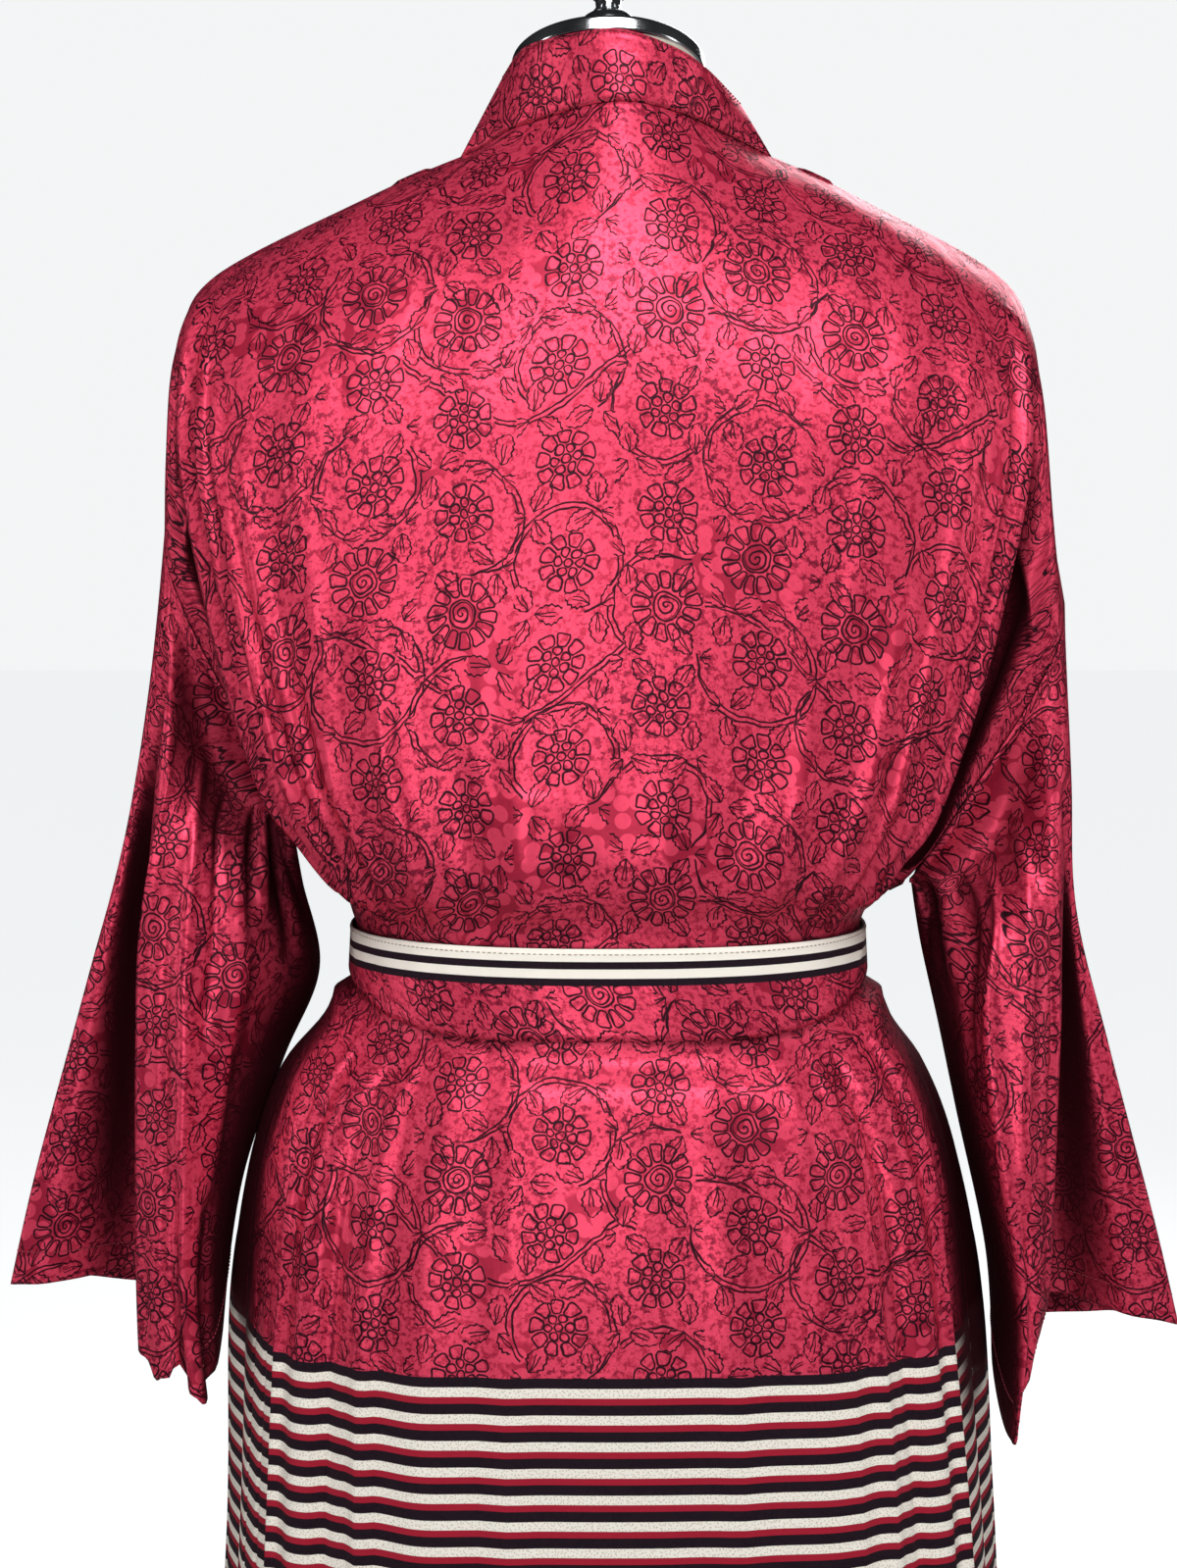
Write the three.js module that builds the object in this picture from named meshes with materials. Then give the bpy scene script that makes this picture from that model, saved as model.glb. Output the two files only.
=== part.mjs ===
// A satin kimono robe worn by a limbless dress form on a round-based stand.
// Millimetres, +Z up. The wearer's front faces -Y and the wearer's left is +X. The origin is the
// centre of the stand's base, on the floor. The robe is cut like a T: back and fronts reach past
// the shoulders, wide sleeves are sewn to their ends, a band runs round the neck and down both
// front edges, and a sash is tied round the waist.
import * as THREE from "three";

// Driving dimensions.
const clothWall = 1.3; // thickness of a single cloth wall
const bandWall = 1.8; // the neckband and the sash are folded double
const seamGap = 0.3; // space kept between two pieces at a seam
const wrapStep = 5; // how far the upper front lies outside the under front
const hem = 235; // the hem above the floor
const bandWidth = 42; // neckband, from its seam to its free edge
const sashTop = 1036;
const sashBottom = 990;
const sashEase = 1.3; // from the sash's inner face to the cloth inside it
const tailLength = 400;
const tailWidth = 44;
const neckLean = 6; // the robe sits this far towards the wearer's right at the neck
const skirtLeans = [0, 2.2, 2, 0.7, -2]; // and this far towards the left, by level, below the sash
const skirtLevel = 10;
const ringPower = 2.3; // squareness of a body ring: 2 is an ellipse
const neckTilt = 0.3; // rise of the neck's top per millimetre towards the back
const poleRadius = 16;
const baseRadius = 175;
const baseHeight = 14;

// A table's rows as objects, from the names of its columns.
function table(columns, rows) {
  return rows.map((row) => Object.fromEntries(columns.map((name, k) => [name, row[k]])));
}

// The dress form, from its lower edge to the top of its neck: half width, back and front depth.
const formSections = table(["z", "half", "back", "front"], [
  [716, 146, 92, 86],
  [738, 160, 104, 96],
  [785, 171, 113, 103],
  [835, 175, 117, 105],
  [885, 168, 114, 103],
  [935, 149, 102, 98],
  [985, 129, 89, 92],
  [1025, 120, 82, 89],
  [1060, 122, 83, 91],
  [1110, 131, 88, 101],
  [1160, 140, 94, 116],
  [1205, 147, 98, 125],
  [1245, 152, 100, 120],
  [1285, 161, 99, 104],
  [1318, 178, 93, 86],
  [1342, 195, 82, 70],
  [1358, 203, 70, 58],
  [1372, 195, 60, 48],
  [1388, 174, 53, 43],
  [1402, 149, 52, 43],
  [1413, 118, 49, 42],
  [1425, 87, 48, 43],
  [1441, 59, 47, 45],
  [1458, 51, 47, 46],
  [1477, 48.5, 47.5, 47.5],
]);

// Back panel, wearer's left half, one row for each level from the shoulder seam to the hem.
// Each column is an [x, y, z]: the middle line, beside the neck, over the shoulder blade, the
// crest of the hanging fold, the valley behind it, the cloth that falls towards the sleeve, and
// the sewn edge, which is the armhole down to the underarm and the side seam below.
const backStations = ["centre", "neck", "blade", "crest", "valley", "lobe", "edge"];
const backRows = table(backStations, [
  [[0, 67, 1454], [81, 6, 1437], [136, 2, 1413], [205, 2, 1377],
    [224, 2, 1347], [228, 2, 1300], [234, 2, 1249]],
  [[0, 78, 1426], [84, 46, 1415], [142, 43, 1393], [209, 38, 1354],
    [224, 30, 1324], [229, 28, 1278], [231, 30, 1230]],
  [[0, 95, 1381], [85, 80, 1373], [150, 73, 1354], [211, 58, 1324],
    [211, 26, 1300], [221, 32, 1250], [224, 42, 1208]],
  [[0, 108, 1320], [86, 101, 1315], [152, 92, 1302], [208, 70, 1276],
    [192, 16, 1260], [210, 30, 1218], [214, 44, 1184]],
  [[0, 113, 1255], [86, 108, 1252], [148, 99, 1242], [197, 75, 1220],
    [177, 12, 1208], [196, 24, 1176], [201, 38, 1158]],
  [[0, 115, 1190], [84, 110, 1188], [142, 100, 1180], [183, 76, 1160],
    [166, 16, 1150], [180, 14, 1134], [187, 26, 1131]],
  [[0, 116, 1132], [80, 110, 1130], [133, 98, 1122], [168, 71, 1110],
    [158, 24, 1104], [167, 10, 1102], [174, 12, 1107]],
  [[0, 117, 1098], [76, 110, 1096], [125, 95, 1092], [156, 66, 1090],
    [153, 34, 1088], [160, 14, 1089], [166, 3, 1091]],
  [[0, 114, 1066], [70, 107, 1066], [114, 89, 1065], [141, 60, 1064],
    [142, 35, 1064], [146, 16, 1065], [148, 2, 1066]],
  [[0, 100, 1037], [62, 92, 1037], [102, 74, 1037], [123, 52, 1037],
    [131, 32, 1037], [135, 15, 1037], [136, 1, 1037]],
  [[0, 102, 990], [64, 94, 990], [104, 77, 990], [129, 56, 990],
    [141, 36, 990], [148, 18, 990], [150, 2, 990]],
  [[0, 118, 955], [72, 110, 955], [119, 92, 955], [148, 68, 955],
    [160, 44, 955], [167, 26, 955], [170, 8, 955]],
  [[0, 127, 905], [79, 120, 905], [132, 103, 905], [162, 78, 905],
    [175, 53, 905], [182, 34, 905], [185, 15, 905]],
  [[0, 134, 828], [84, 128, 828], [139, 110, 828], [170, 84, 828],
    [182, 58, 828], [189, 38, 828], [193, 20, 828]],
  [[0, 138, 700], [86, 133, 700], [146, 114, 700], [179, 88, 700],
    [192, 62, 700], [198, 41, 700], [201, 20, 700]],
  [[0, 148, 480], [92, 142, 480], [155, 122, 480], [191, 94, 480],
    [205, 66, 480], [212, 43, 480], [216, 20, 480]],
  [[0, 160, hem], [98, 154, hem], [165, 132, hem], [203, 102, hem],
    [218, 71, hem], [226, 46, hem], [230, 20, hem]],
]);

// Front panels at the same levels: the seam to the neckband by its x and height, the depth of
// the cloth at the middle line, and the fold that falls from the shoulder.
const frontRows = table(["seamX", "seamZ", "depth", "mid", "crest", "valley", "lobe"], [
  [81, 1437, 6, [136, 2, 1413], [205, 2, 1377], [224, 2, 1347], [228, 2, 1300]],
  [83, 1403, 56, [146, -38, 1388], [208, -32, 1352], [223, -28, 1320], [229, -24, 1275]],
  [82, 1362, 80, [150, -60, 1350], [209, -48, 1322], [209, -24, 1298], [221, -28, 1248]],
  [76, 1310, 110, [148, -82, 1298], [203, -62, 1274], [191, -18, 1258], [210, -26, 1216]],
  [64, 1252, 130, [138, -108, 1240], [190, -74, 1218], [176, -16, 1206], [196, -22, 1174]],
  [46, 1190, 137, [124, -121, 1180], [176, -80, 1160], [165, -20, 1149], [180, -14, 1133]],
  [24, 1132, 131, [106, -119, 1124], [162, -76, 1110], [157, -28, 1104], [167, -9, 1102]],
  [10, 1098, 124, [95, -113, 1093], [153, -68, 1090], [153, -34, 1088], [160, -10, 1089]],
  [-4, 1066, 117, [84, -105, 1066], [137, -60, 1065], [142, -34, 1065], [146, -13, 1066]],
  [-16, 1037, 104, [74, -94, 1037], [121, -58, 1037], [131, -36, 1037], [135, -16, 1037]],
  [-26, 990, 105, [72, -96, 990], [128, -58, 990], [141, -37, 990], [149, -16, 990]],
  [-32, 955, 117, [82, -109, 955], [150, -64, 955], [167, -40, 955], [175, -16, 955]],
  [-38, 905, 126, [90, -118, 905], [163, -70, 905], [186, -42, 905], [193, -14, 905]],
  [-44, 828, 130, [96, -123, 828], [174, -74, 828], [199, -42, 828], [205.5, -12, 828]],
  [-48, 700, 134, [100, -126, 700], [182, -76, 700], [205, -43, 700], [211, -12, 700]],
  [-52, 480, 144, [106, -136, 480], [194, -82, 480], [215, -46, 480], [223, -13, 480]],
  [-56, hem, 156, [112, -147, hem], [206, -89, hem], [229, -50, hem], [238, -14, hem]],
]);

// The robe sits lower on the wearer's right: how far each station slips out and down there, at
// the shoulder and at the underarm. The slip has died away at the last level.
const slipLast = 9;
const slips = {
  crest: { out: [1, -12], down: [2, 14] },
  valley: { out: [0, -10], down: [12, 30] },
  lobe: { out: [3, -8], down: [33, 33] },
  edge: { out: [8, -7], down: [44, 33] },
};

// Sleeves, one row for each ring from below the armhole to the cuff. outer is the fold at the top
// of the arm and inner the underarm seam. valley, crest and face lie on the back layer, front and
// chest on the front one. All are [x, y, z] with x measured outwards.
const ringStations = ["outer", "valley", "crest", "face", "inner", "chest", "front"];
const sleeveRings = {
  left: table(ringStations, [
    [[242, 0, 1170], [238, 20, 1140], [229, 38, 1112], [196, 36, 1080],
      [164, -2, 1056], [190, -36, 1080], [228, -32, 1124]],
    [[258, 0, 1082], [244, 6, 1058], [240, 40, 1040], [200, 46, 1020],
      [156, -8, 1008], [190, -48, 1024], [236, -38, 1056]],
    [[280, 0, 1003], [246, 2, 982], [242, 43, 968], [206, 50, 956],
      [177, -20, 957], [202, -58, 966], [252, -44, 986]],
    [[309, 0, 900], [247, 0, 886], [243, 48, 868], [213, 57, 856],
      [199, -22, 896], [222, -64, 876], [276, -46, 888]],
    [[324, 0, 836], [249, 2, 836], [242, 51, 812], [209, 58, 795],
      [211, -20, 833], [236, -62, 818], [290, -42, 828]],
  ]),
  right: table(ringStations, [
    [[246, 0, 1112], [242, 20, 1092], [230, 42, 1068], [194, 46, 1044],
      [168, -2, 1024], [194, -38, 1044], [232, -34, 1078]],
    [[251, 0, 1042], [240, 8, 1024], [234, 44, 1006], [192, 54, 990],
      [179, -12, 980], [200, -52, 994], [236, -40, 1020]],
    [[270, 0, 968], [238, 2, 950], [233, 48, 940], [197, 62, 926],
      [191, -24, 930], [210, -60, 940], [246, -46, 954]],
    [[296, 0, 872], [236, -2, 868], [231, 52, 858], [211, 67, 838],
      [209, -26, 850], [224, -64, 850], [268, -46, 862]],
    [[310, 0, 814], [238, -2, 826], [227, 52, 830], [209, 67, 774],
      [213, -24, 792], [232, -60, 800], [282, -42, 808]],
  ]),
};

// The neckband's free edge round the back of the neck, from the wearer's left to the right, and
// down each front at its first levels.
const standingEdge = [
  [60, 8, 1479], [49, 34, 1487], [27, 55, 1489], [0, 63, 1490], [-28, 56, 1482], [-45, 40, 1474],
  [-62, 10, 1464],
];
const chestEdge = [[54, -44, 1431], [46, -84, 1384], [38, -114, 1326]];

// Soft folds raised in the cloth: across is the station they lie on, from and to are levels,
// and a negative depth is a trough.
const foldColumns = ["across", "from", "to", "width", "depth"];
const backFolds = table(foldColumns, [
  [-2.5, 2, 8.8, 0.35, 4],
  [-1.9, 4, 8.8, 0.4, 4],
  [-1.1, 6, 8.9, 0.4, 4],
  [0.5, 6.4, 8.9, 0.5, 5],
  [1.5, 4.5, 8.9, 0.42, 5],
  [2, 2.5, 8.8, 0.3, 4],
  [2.5, 2, 8.8, 0.35, 5],
  [1.1, 10, 16.5, 0.4, 5],
  [2.3, 10.2, 16.5, 0.42, 6],
  [-1.4, 10, 16.5, 0.5, 5],
  [-2.6, 10.2, 16.5, 0.42, 6],
]);
const frontFolds = table(foldColumns, [
  [2.6, 10.2, 16.5, 0.5, 7],
  [1.8, 10.2, 16.5, 0.45, 6],
  [1.35, 3, 8.8, 0.5, 5],
]);

const stationSteps = [4, 4, 4, 4, 3, 2]; // mesh steps between neighbouring stations
const frontStations = ["seam", "mid", "crest", "valley", "lobe", "edge"];
const frontSteps = [4, 4, 4, 3, 2];
const levels = [
  0, 0.5, 1, 1.5, 2, 2.5, 3, 3.5, 4, 4.5, 5, 5.5, 6, 6.5, 7, 7.5, 8, 8.5, 9, 9.5, 10, 10.5, 11, 12, 13, 14,
  15, 16,
];
const underarmLevel = 7;
const armholeLevels = levels.filter((level) => level <= underarmLevel);

const v3 = (x, y, z) => new THREE.Vector3(x, y, z);

// Catmull-Rom between the middle two of four numbers.
function spline(a, b, c, d, t) {
  return b + 0.5 * t * (c - a + t * (2 * a - 5 * b + 4 * c - d + t * (3 * (b - c) + d - a)));
}

// Reads a list of points at a fractional index, smoothly.
function along(list, index) {
  const last = list.length - 1;
  const i = Math.min(Math.max(Math.floor(index), 0), last - 1);
  const at = (k) => list[Math.min(Math.max(k, 0), last)];
  const [a, b, c, d] = [at(i - 1), at(i), at(i + 1), at(i + 2)];
  return b.map((_, k) => spline(a[k], b[k], c[k], d[k], index - i));
}

// Reads a table's named columns at a height.
function sectionAt(table, z, names) {
  const last = table.length - 1;
  let i = 0;
  while (i < last - 1 && table[i + 1].z < z) i += 1;
  const t = Math.min(Math.max((z - table[i].z) / (table[i + 1].z - table[i].z), 0), 1);
  return along(table.map((row) => names.map((name) => row[name])), i + t);
}

// Half width and depth of the form at a height, grown by a gap.
function formRing(z, gap) {
  const [half, back, front] = sectionAt(formSections, z, ["half", "back", "front"]);
  return { half: half + gap, back: back + gap, front: front + gap };
}

// How far out a point lies on a ring: 1 is on it.
function reach(p, ring) {
  const depth = p.y > 0 ? ring.back : ring.front;
  const sum = Math.abs(p.x / ring.half) ** ringPower + Math.abs(p.y / depth) ** ringPower;
  return sum ** (1 / ringPower);
}

// Signed distance from the form, near enough for points close to it.
function formDistance(p) {
  const value = (q) => reach(q, formRing(q.z, 0)) - 1;
  const f = value(p);
  const d = 0.5;
  const slope = v3(
    value(v3(p.x + d, p.y, p.z)) - f,
    value(v3(p.x, p.y + d, p.z)) - f,
    value(v3(p.x, p.y, p.z + d)) - f,
  ).divideScalar(d);
  const steep = Math.max(slope.length(), 1e-4);
  return { distance: f / steep, out: slope.divideScalar(steep) };
}

// Moves a point off the form until the stated gap is left.
function clearOfForm(p, gap) {
  for (let pass = 0; pass < 4 && p.z < formSections[formSections.length - 1].z; pass += 1) {
    const { distance, out } = formDistance(p);
    if (distance >= gap || distance < -60) break;
    p.addScaledVector(out, gap - distance);
  }
  return p;
}

// The sash's lower edge, which is folded up a little at the wearer's sides.
function sashLow(x, y) {
  return sashBottom + 25 * (Math.abs(x) / Math.max(Math.hypot(x, y), 1)) ** 8;
}

// The sash's inner ring, which spreads a little towards its lower edge.
function sashRing(z) {
  const drop = (sashTop - z) / (sashTop - sashBottom);
  return { half: 135.5 + 2.5 * drop, back: 103.5 + 3.5 * drop, front: 111 };
}

// Draws cloth in under the sash; a margin above and below it the cloth spreads again. under is
// how far this layer lies inside the one that touches the sash.
function cinch(p, under, margin = 0) {
  const low = sashLow(p.x, p.y);
  const away = Math.max(p.z - sashTop - margin, low - Math.max(margin, 10.5) - p.z, 0);
  const shrink = sashEase + under - away * away * 0.055;
  const ring = sashRing(Math.min(Math.max(p.z, low), sashTop));
  const { half, back: rear, front: fore } = ring;
  const r = reach(p, { half: half - shrink, back: rear - shrink, front: fore - shrink });
  const hold = Math.max(1 - away / 12, 0);
  const wanted = r > 1 ? 1 : r + (1 - r) * hold;
  p.x *= wanted / r;
  p.y *= wanted / r;
  return p;
}

// A table point on one side of the body; the wearer's right side slips down.
function placed(point, station, level, side) {
  const [x, y, z] = point;
  if (side > 0 || !(station in slips)) return [side * x, y, z];
  const fall = Math.min(level / underarmLevel, 1);
  const fade = Math.min(Math.max((slipLast - level) / (slipLast - underarmLevel), 0), 1);
  const { out, down } = slips[station];
  const outward = THREE.MathUtils.lerp(out[0], out[1], fall) * fade;
  return [side * (x + outward), y, z - THREE.MathUtils.lerp(down[0], down[1], fall) * fade];
}

// The back panel's table as full rows, from the wearer's right edge to the left one.
const backNet = backRows.map((row, index) => {
  const half = (side) =>
    backStations.map((name) => placed(row[name], name, index, side));
  return [...half(-1).slice(1).reverse(), ...half(1)];
});

// The front's own curve at each height, through its depth and its mid station.
const frontCurves = frontRows.slice(1).map(({ seamZ, depth, mid }) => {
  const share = (1 - (-mid[1] / depth) ** ringPower) ** (1 / ringPower);
  return { z: seamZ, depth, half: mid[0] / share };
});
frontCurves.reverse();

function frontY(x, z) {
  const [depth, half] = sectionAt(frontCurves, z, ["depth", "half"]);
  return -depth * (1 - Math.abs(x / half) ** ringPower) ** (1 / ringPower);
}

// Round the armhole the front's sewn edge mirrors the back's; below it they meet.
function edgeDepth(index, y) {
  return index === 0 || index >= underarmLevel ? y : -y * 0.8;
}

function frontNet(side) {
  return frontRows.map((row, index) =>
    frontStations.map((name) => {
      const { seamX, seamZ, depth } = row;
      if (name === "seam") return [side * seamX, index === 0 ? depth : frontY(seamX, seamZ), seamZ];
      const source = name === "edge" ? backRows[index].edge : row[name];
      const [x, y, z] = placed(source, name, index, side);
      return [x, name === "edge" ? edgeDepth(index, y) : y, z];
    }),
  );
}

const frontNets = { left: frontNet(1), right: frontNet(-1) };

// A point of a net of rows, smoothly, at fractional places across and down.
function onNet(net, across, level) {
  return v3(...along(net[0].map((_, k) => along(net.map((row) => row[k]), level)), across));
}

// Height of the raised folds at a place.
function foldHeight(folds, across, level) {
  return folds.reduce((sum, fold) => {
    const middle = (fold.from + fold.to) / 2;
    const half = (fold.to - fold.from) / 2;
    const lengthwise = Math.max(1 - ((level - middle) / half) ** 2, 0);
    const sideways = Math.exp(-(((across - fold.across) / fold.width) ** 2) * 2.5);
    return sum + fold.depth * sideways * Math.sqrt(lengthwise);
  }, 0);
}

// Moves a point straight away from the body's upright axis.
function pushOut(p, distance) {
  const radius = Math.hypot(p.x, p.y);
  if (radius < 1) return p;
  p.x += (p.x / radius) * distance;
  p.y += (p.y / radius) * distance;
  return p;
}

// Near the neck the robe sits towards the wearer's right, and its skirt a little to the left.
function leant(p, near, level) {
  p.x -= neckLean * Math.max(1 - level / 6, 0) * Math.max(1 - near / 3, 0);
  const below = Math.min(Math.max(level - skirtLevel, 0), skirtLeans.length - 1);
  const row = Math.min(Math.floor(below), skirtLeans.length - 2);
  p.x += THREE.MathUtils.lerp(skirtLeans[row], skirtLeans[row + 1], below - row);
  return p;
}

const restGap = 0.7 + clothWall; // from the form to the outer face of cloth that rests on it
// Cloth stands further off the form near the neckline.
function neckRoom(near, level) {
  return 2.4 * Math.max(1 - level, 0) * Math.min(Math.max(1.75 - near, 0), 1);
}

const lastBack = backStations.length - 1;
const lastFront = frontStations.length - 1;

// across runs from -6 at the wearer's right edge to 6 at the left one.
function backPoint(across, level) {
  const p = onNet(backNet, across + lastBack, level);
  pushOut(p, foldHeight(backFolds, across, level));
  leant(p, Math.abs(across), level);
  clearOfForm(p, restGap + neckRoom(Math.abs(across), level));
  cinch(p, 0);
  const shoulder = level === 0 && Math.abs(across) >= 1;
  const sideSeam = Math.abs(across) === lastBack && level >= underarmLevel;
  if (shoulder || sideSeam) p.y += seamGap / 2;
  return p;
}

const bandGap = restGap + bandWall + 1;
const bandMargin = 10;

// How much a front lies over or under the other: 1 at its edge, 0 towards the side seam.
function overlapShare(across, level) {
  return Math.min(Math.max((2.3 - across) / 1.3, 0), 1) * Math.min(level / 2, 1);
}

// across runs from 0 at the neckband's seam to 5 at the sewn edge. The wearer's left front is
// the upper one.
function frontPoint(side, across, level) {
  const shoulder = level === 0;
  const sideSeam = across === lastFront && level >= underarmLevel;
  if (shoulder || sideSeam) {
    const p = backPoint(side * (across + 1), level);
    p.y -= seamGap;
    return p;
  }
  const p = onNet(side > 0 ? frontNets.left : frontNets.right, across, level);
  pushOut(p, foldHeight(frontFolds, across, level));
  leant(p, across + 1, level);
  clearOfForm(p, restGap + 0.5 + neckRoom(across + 1, level));
  const share = overlapShare(across, level);
  return layered(p, side, share, bandMargin * share);
}

// Puts a point of the upper or the under front in its layer and draws it in under the sash.
function layered(p, side, share, margin = 0) {
  if (side > 0) pushOut(p, wrapStep * share);
  return cinch(p, side > 0 ? 0 : wrapStep * share, margin);
}

// Outward directions of a grid of points; loop says that each row closes on itself. level, where
// given, says at which places the direction is kept in a seam's plane.
function outward(grid, loop, inSeam) {
  const rows = grid.length;
  const cols = grid[0].length;
  const column = (j) => (loop ? (j + cols) % cols : Math.min(Math.max(j, 0), cols - 1));
  const at = (i, j) => grid[Math.min(Math.max(i, 0), rows - 1)][column(j)];
  return grid.map((row, i) =>
    row.map((_, j) => {
      const down = at(i + 1, j).clone().sub(at(i - 1, j));
      const normal = at(i, j + 1).clone().sub(at(i, j - 1)).cross(down);
      if (inSeam && inSeam(i, j)) normal.y = 0;
      return normal.normalize();
    }),
  );
}

// A closed wall: the grid is its outer face, and its inner face lies behind it.
function wall(grid, normals, thickness, loop = false) {
  const rows = grid.length;
  const cols = grid[0].length;
  const outer = grid.flat();
  const inner = outer.map((p, k) => p.clone().addScaledVector(normals.flat()[k], -thickness));
  const count = rows * cols;
  const faces = [];
  const quad = (a, b, c, d) => faces.push(a, b, c, a, c, d);
  const spans = loop ? cols : cols - 1;
  for (let i = 0; i < rows - 1; i += 1) {
    for (let j = 0; j < spans; j += 1) {
      const k = (j + 1) % cols;
      const [a, b, c, d] = [i * cols + j, i * cols + k, (i + 1) * cols + k, (i + 1) * cols + j];
      quad(a, b, c, d);
      quad(count + a, count + d, count + c, count + b);
    }
    if (!loop) {
      const [left, right] = [i * cols, i * cols + cols - 1];
      quad(left, left + cols, count + left + cols, count + left);
      quad(right + cols, right, count + right, count + right + cols);
    }
  }
  for (let j = 0; j < spans; j += 1) {
    const k = (j + 1) % cols;
    const foot = (rows - 1) * cols;
    quad(k, j, count + j, count + k);
    quad(foot + j, foot + k, count + foot + k, count + foot + j);
  }
  return closedMesh([...outer, ...inner], faces);
}

function plainWall(grid, thickness, loop = false) {
  return wall(grid, outward(grid, loop), thickness, loop);
}

// A BufferGeometry from points and faces, turned so that its faces point outwards.
function closedMesh(points, faces) {
  let volume = 0;
  for (let i = 0; i < faces.length; i += 3) {
    const [a, b, c] = [points[faces[i]], points[faces[i + 1]], points[faces[i + 2]]];
    volume += a.dot(b.clone().cross(c));
  }
  const turned = [];
  for (let i = 0; i < faces.length; i += 3) {
    turned.push(faces[i], faces[i + (volume < 0 ? 2 : 1)], faces[i + (volume < 0 ? 1 : 2)]);
  }
  return new THREE.BufferGeometry().setFromPoints(points).setIndex(turned);
}

// Station positions with the stated number of mesh steps in each span.
function steps(counts) {
  const places = counts.flatMap((count, span) =>
    Array.from({ length: count }, (_, k) => span + k / count),
  );
  return [...places, counts.length];
}

const halfAcross = steps(stationSteps);
const backAcross = [...halfAcross.slice(1).reverse().map((place) => -place), ...halfAcross];
const frontAcross = steps(frontSteps);

// A panel: its grid of outer points and their outward directions.
function panel(pointAt, places, neckPlace, sidePlace) {
  const grid = levels.map((level) => places.map((across) => pointAt(across, level)));
  const inSeam = (i, j) => {
    const place = Math.abs(places[j]);
    return (i === 0 && place >= neckPlace) || (levels[i] >= underarmLevel && place === sidePlace);
  };
  return { grid, normals: outward(grid, false, inSeam) };
}

const back = panel(backPoint, backAcross, 1, lastBack);

// A front's places run from the side to the neckband on the wearer's left, and back on the
// right, so that both faces point outwards.
function front(side) {
  const places = side > 0 ? [...frontAcross].reverse() : frontAcross;
  return panel((across, level) => frontPoint(side, across, level), places, 0, lastFront);
}

const fronts = { left: front(1), right: front(-1) };

// The neckband's seam and free edge down one front, one pair for each level.
function bandDown(side) {
  const column = (level) => frontPoint(side, 0, level);
  const top = side > 0 ? standingEdge[0] : standingEdge[standingEdge.length - 1];
  const chest = [top, ...chestEdge.map(([x, y, z]) => [side * x, y, z])];
  const lower = frontRows.slice(chest.length).map((row, k) => {
    const index = k + chest.length;
    const next = frontRows[Math.min(index + 1, frontRows.length - 1)];
    const last = frontRows[index - 1];
    const slant = new THREE.Vector2(last.seamX - next.seamX, last.seamZ - next.seamZ).normalize();
    const x = row.seamX - slant.y * bandWidth;
    const z = index === frontRows.length - 1 ? row.seamZ : row.seamZ + slant.x * bandWidth;
    return [side * x, frontY(x, z), z];
  });
  const free = [...chest, ...lower];
  return levels.map((level) => {
    const edge = v3(...along(free, level));
    leant(edge, 0, level);
    clearOfForm(edge, bandGap);
    layered(edge, side, Math.min(level / 2, 1), bandMargin);
    if (side < 0) pushOut(edge, -1.4 * Math.min(level / 2, 1));
    return [column(level), edge];
  });
}

// The points between a seam and a free edge, curved outwards like the body under them.
function bandRow([seam, edge], side, level) {
  const curve = (p) => (side === 0 ? 0 : frontY(p.x, p.z));
  return [0, 0.33, 0.67, 1].map((share) => {
    const p = seam.clone().lerp(edge, share);
    if (share === 0) return p.addScaledVector(edge.clone().sub(seam).normalize(), seamGap);
    if (share === 1) return p;
    const straight = THREE.MathUtils.lerp(curve(seam), curve(edge), share);
    p.y += (curve(p) - straight) * Math.min(level / 3, 1);
    clearOfForm(p, bandGap);
    return cinch(p, side > 0 ? 0 : wrapStep + 0.5, bandMargin);
  });
}

function neckband() {
  const down = (side) => bandDown(side).map((pair, i) => bandRow(pair, side, levels[i]));
  const round = backAcross
    .filter((across) => Math.abs(across) < 1)
    .reverse()
    .map((across) => {
      const edge = v3(...along(standingEdge, 3 - 3 * across));
      edge.x -= neckLean;
      const seam = backPoint(across, 0);
      return bandRow([seam, clearOfForm(edge, bandGap + 0.8)], 0, 0);
    });
  const grid = [...down(1).reverse(), ...round, ...down(-1)];
  return plainWall(grid.map((row) => row.reverse()), bandWall);
}

// The sleeve's rings start at the armhole, a seam gap away from the body's sewn edges.
const sleeveBack = ["outer", "valley", "crest", "face", "inner"];
const sleeveFront = ["inner", "chest", "front", "outer"];
const ringShares = armholeLevels.map((level) => level / underarmLevel);

function armhole(side) {
  const rows = armholeLevels.map((_, i) => i);
  const backColumn = side > 0 ? backAcross.length - 1 : 0;
  const frontColumn = side > 0 ? 0 : frontAcross.length - 1;
  const frontPiece = side > 0 ? fronts.left : fronts.right;
  const pick = ({ grid, normals }, column) =>
    rows.map((i) => ({ p: grid[i][column], normal: normals[i][column] }));
  return [...pick(back, backColumn), ...pick(frontPiece, frontColumn).reverse().slice(1, -1)];
}

function sleeveRing(ring, side) {
  const stations = (names) => names.map((name) => ring[name]);
  const loop = [...stations(sleeveBack), ...stations(sleeveFront).slice(1, -1)];
  const count = loop.length;
  const wrapped = [loop[count - 1], ...loop, loop[0], loop[1]];
  const spots = [
    ...ringShares.map((share) => 1 + share * (sleeveBack.length - 1)),
    ...ringShares.slice(1, -1).map((share) => sleeveBack.length + share * (sleeveFront.length - 1)),
  ];
  return spots.map((spot) => {
    const [x, y, z] = along(wrapped, spot);
    return v3(side * x, y, z);
  });
}

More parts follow.
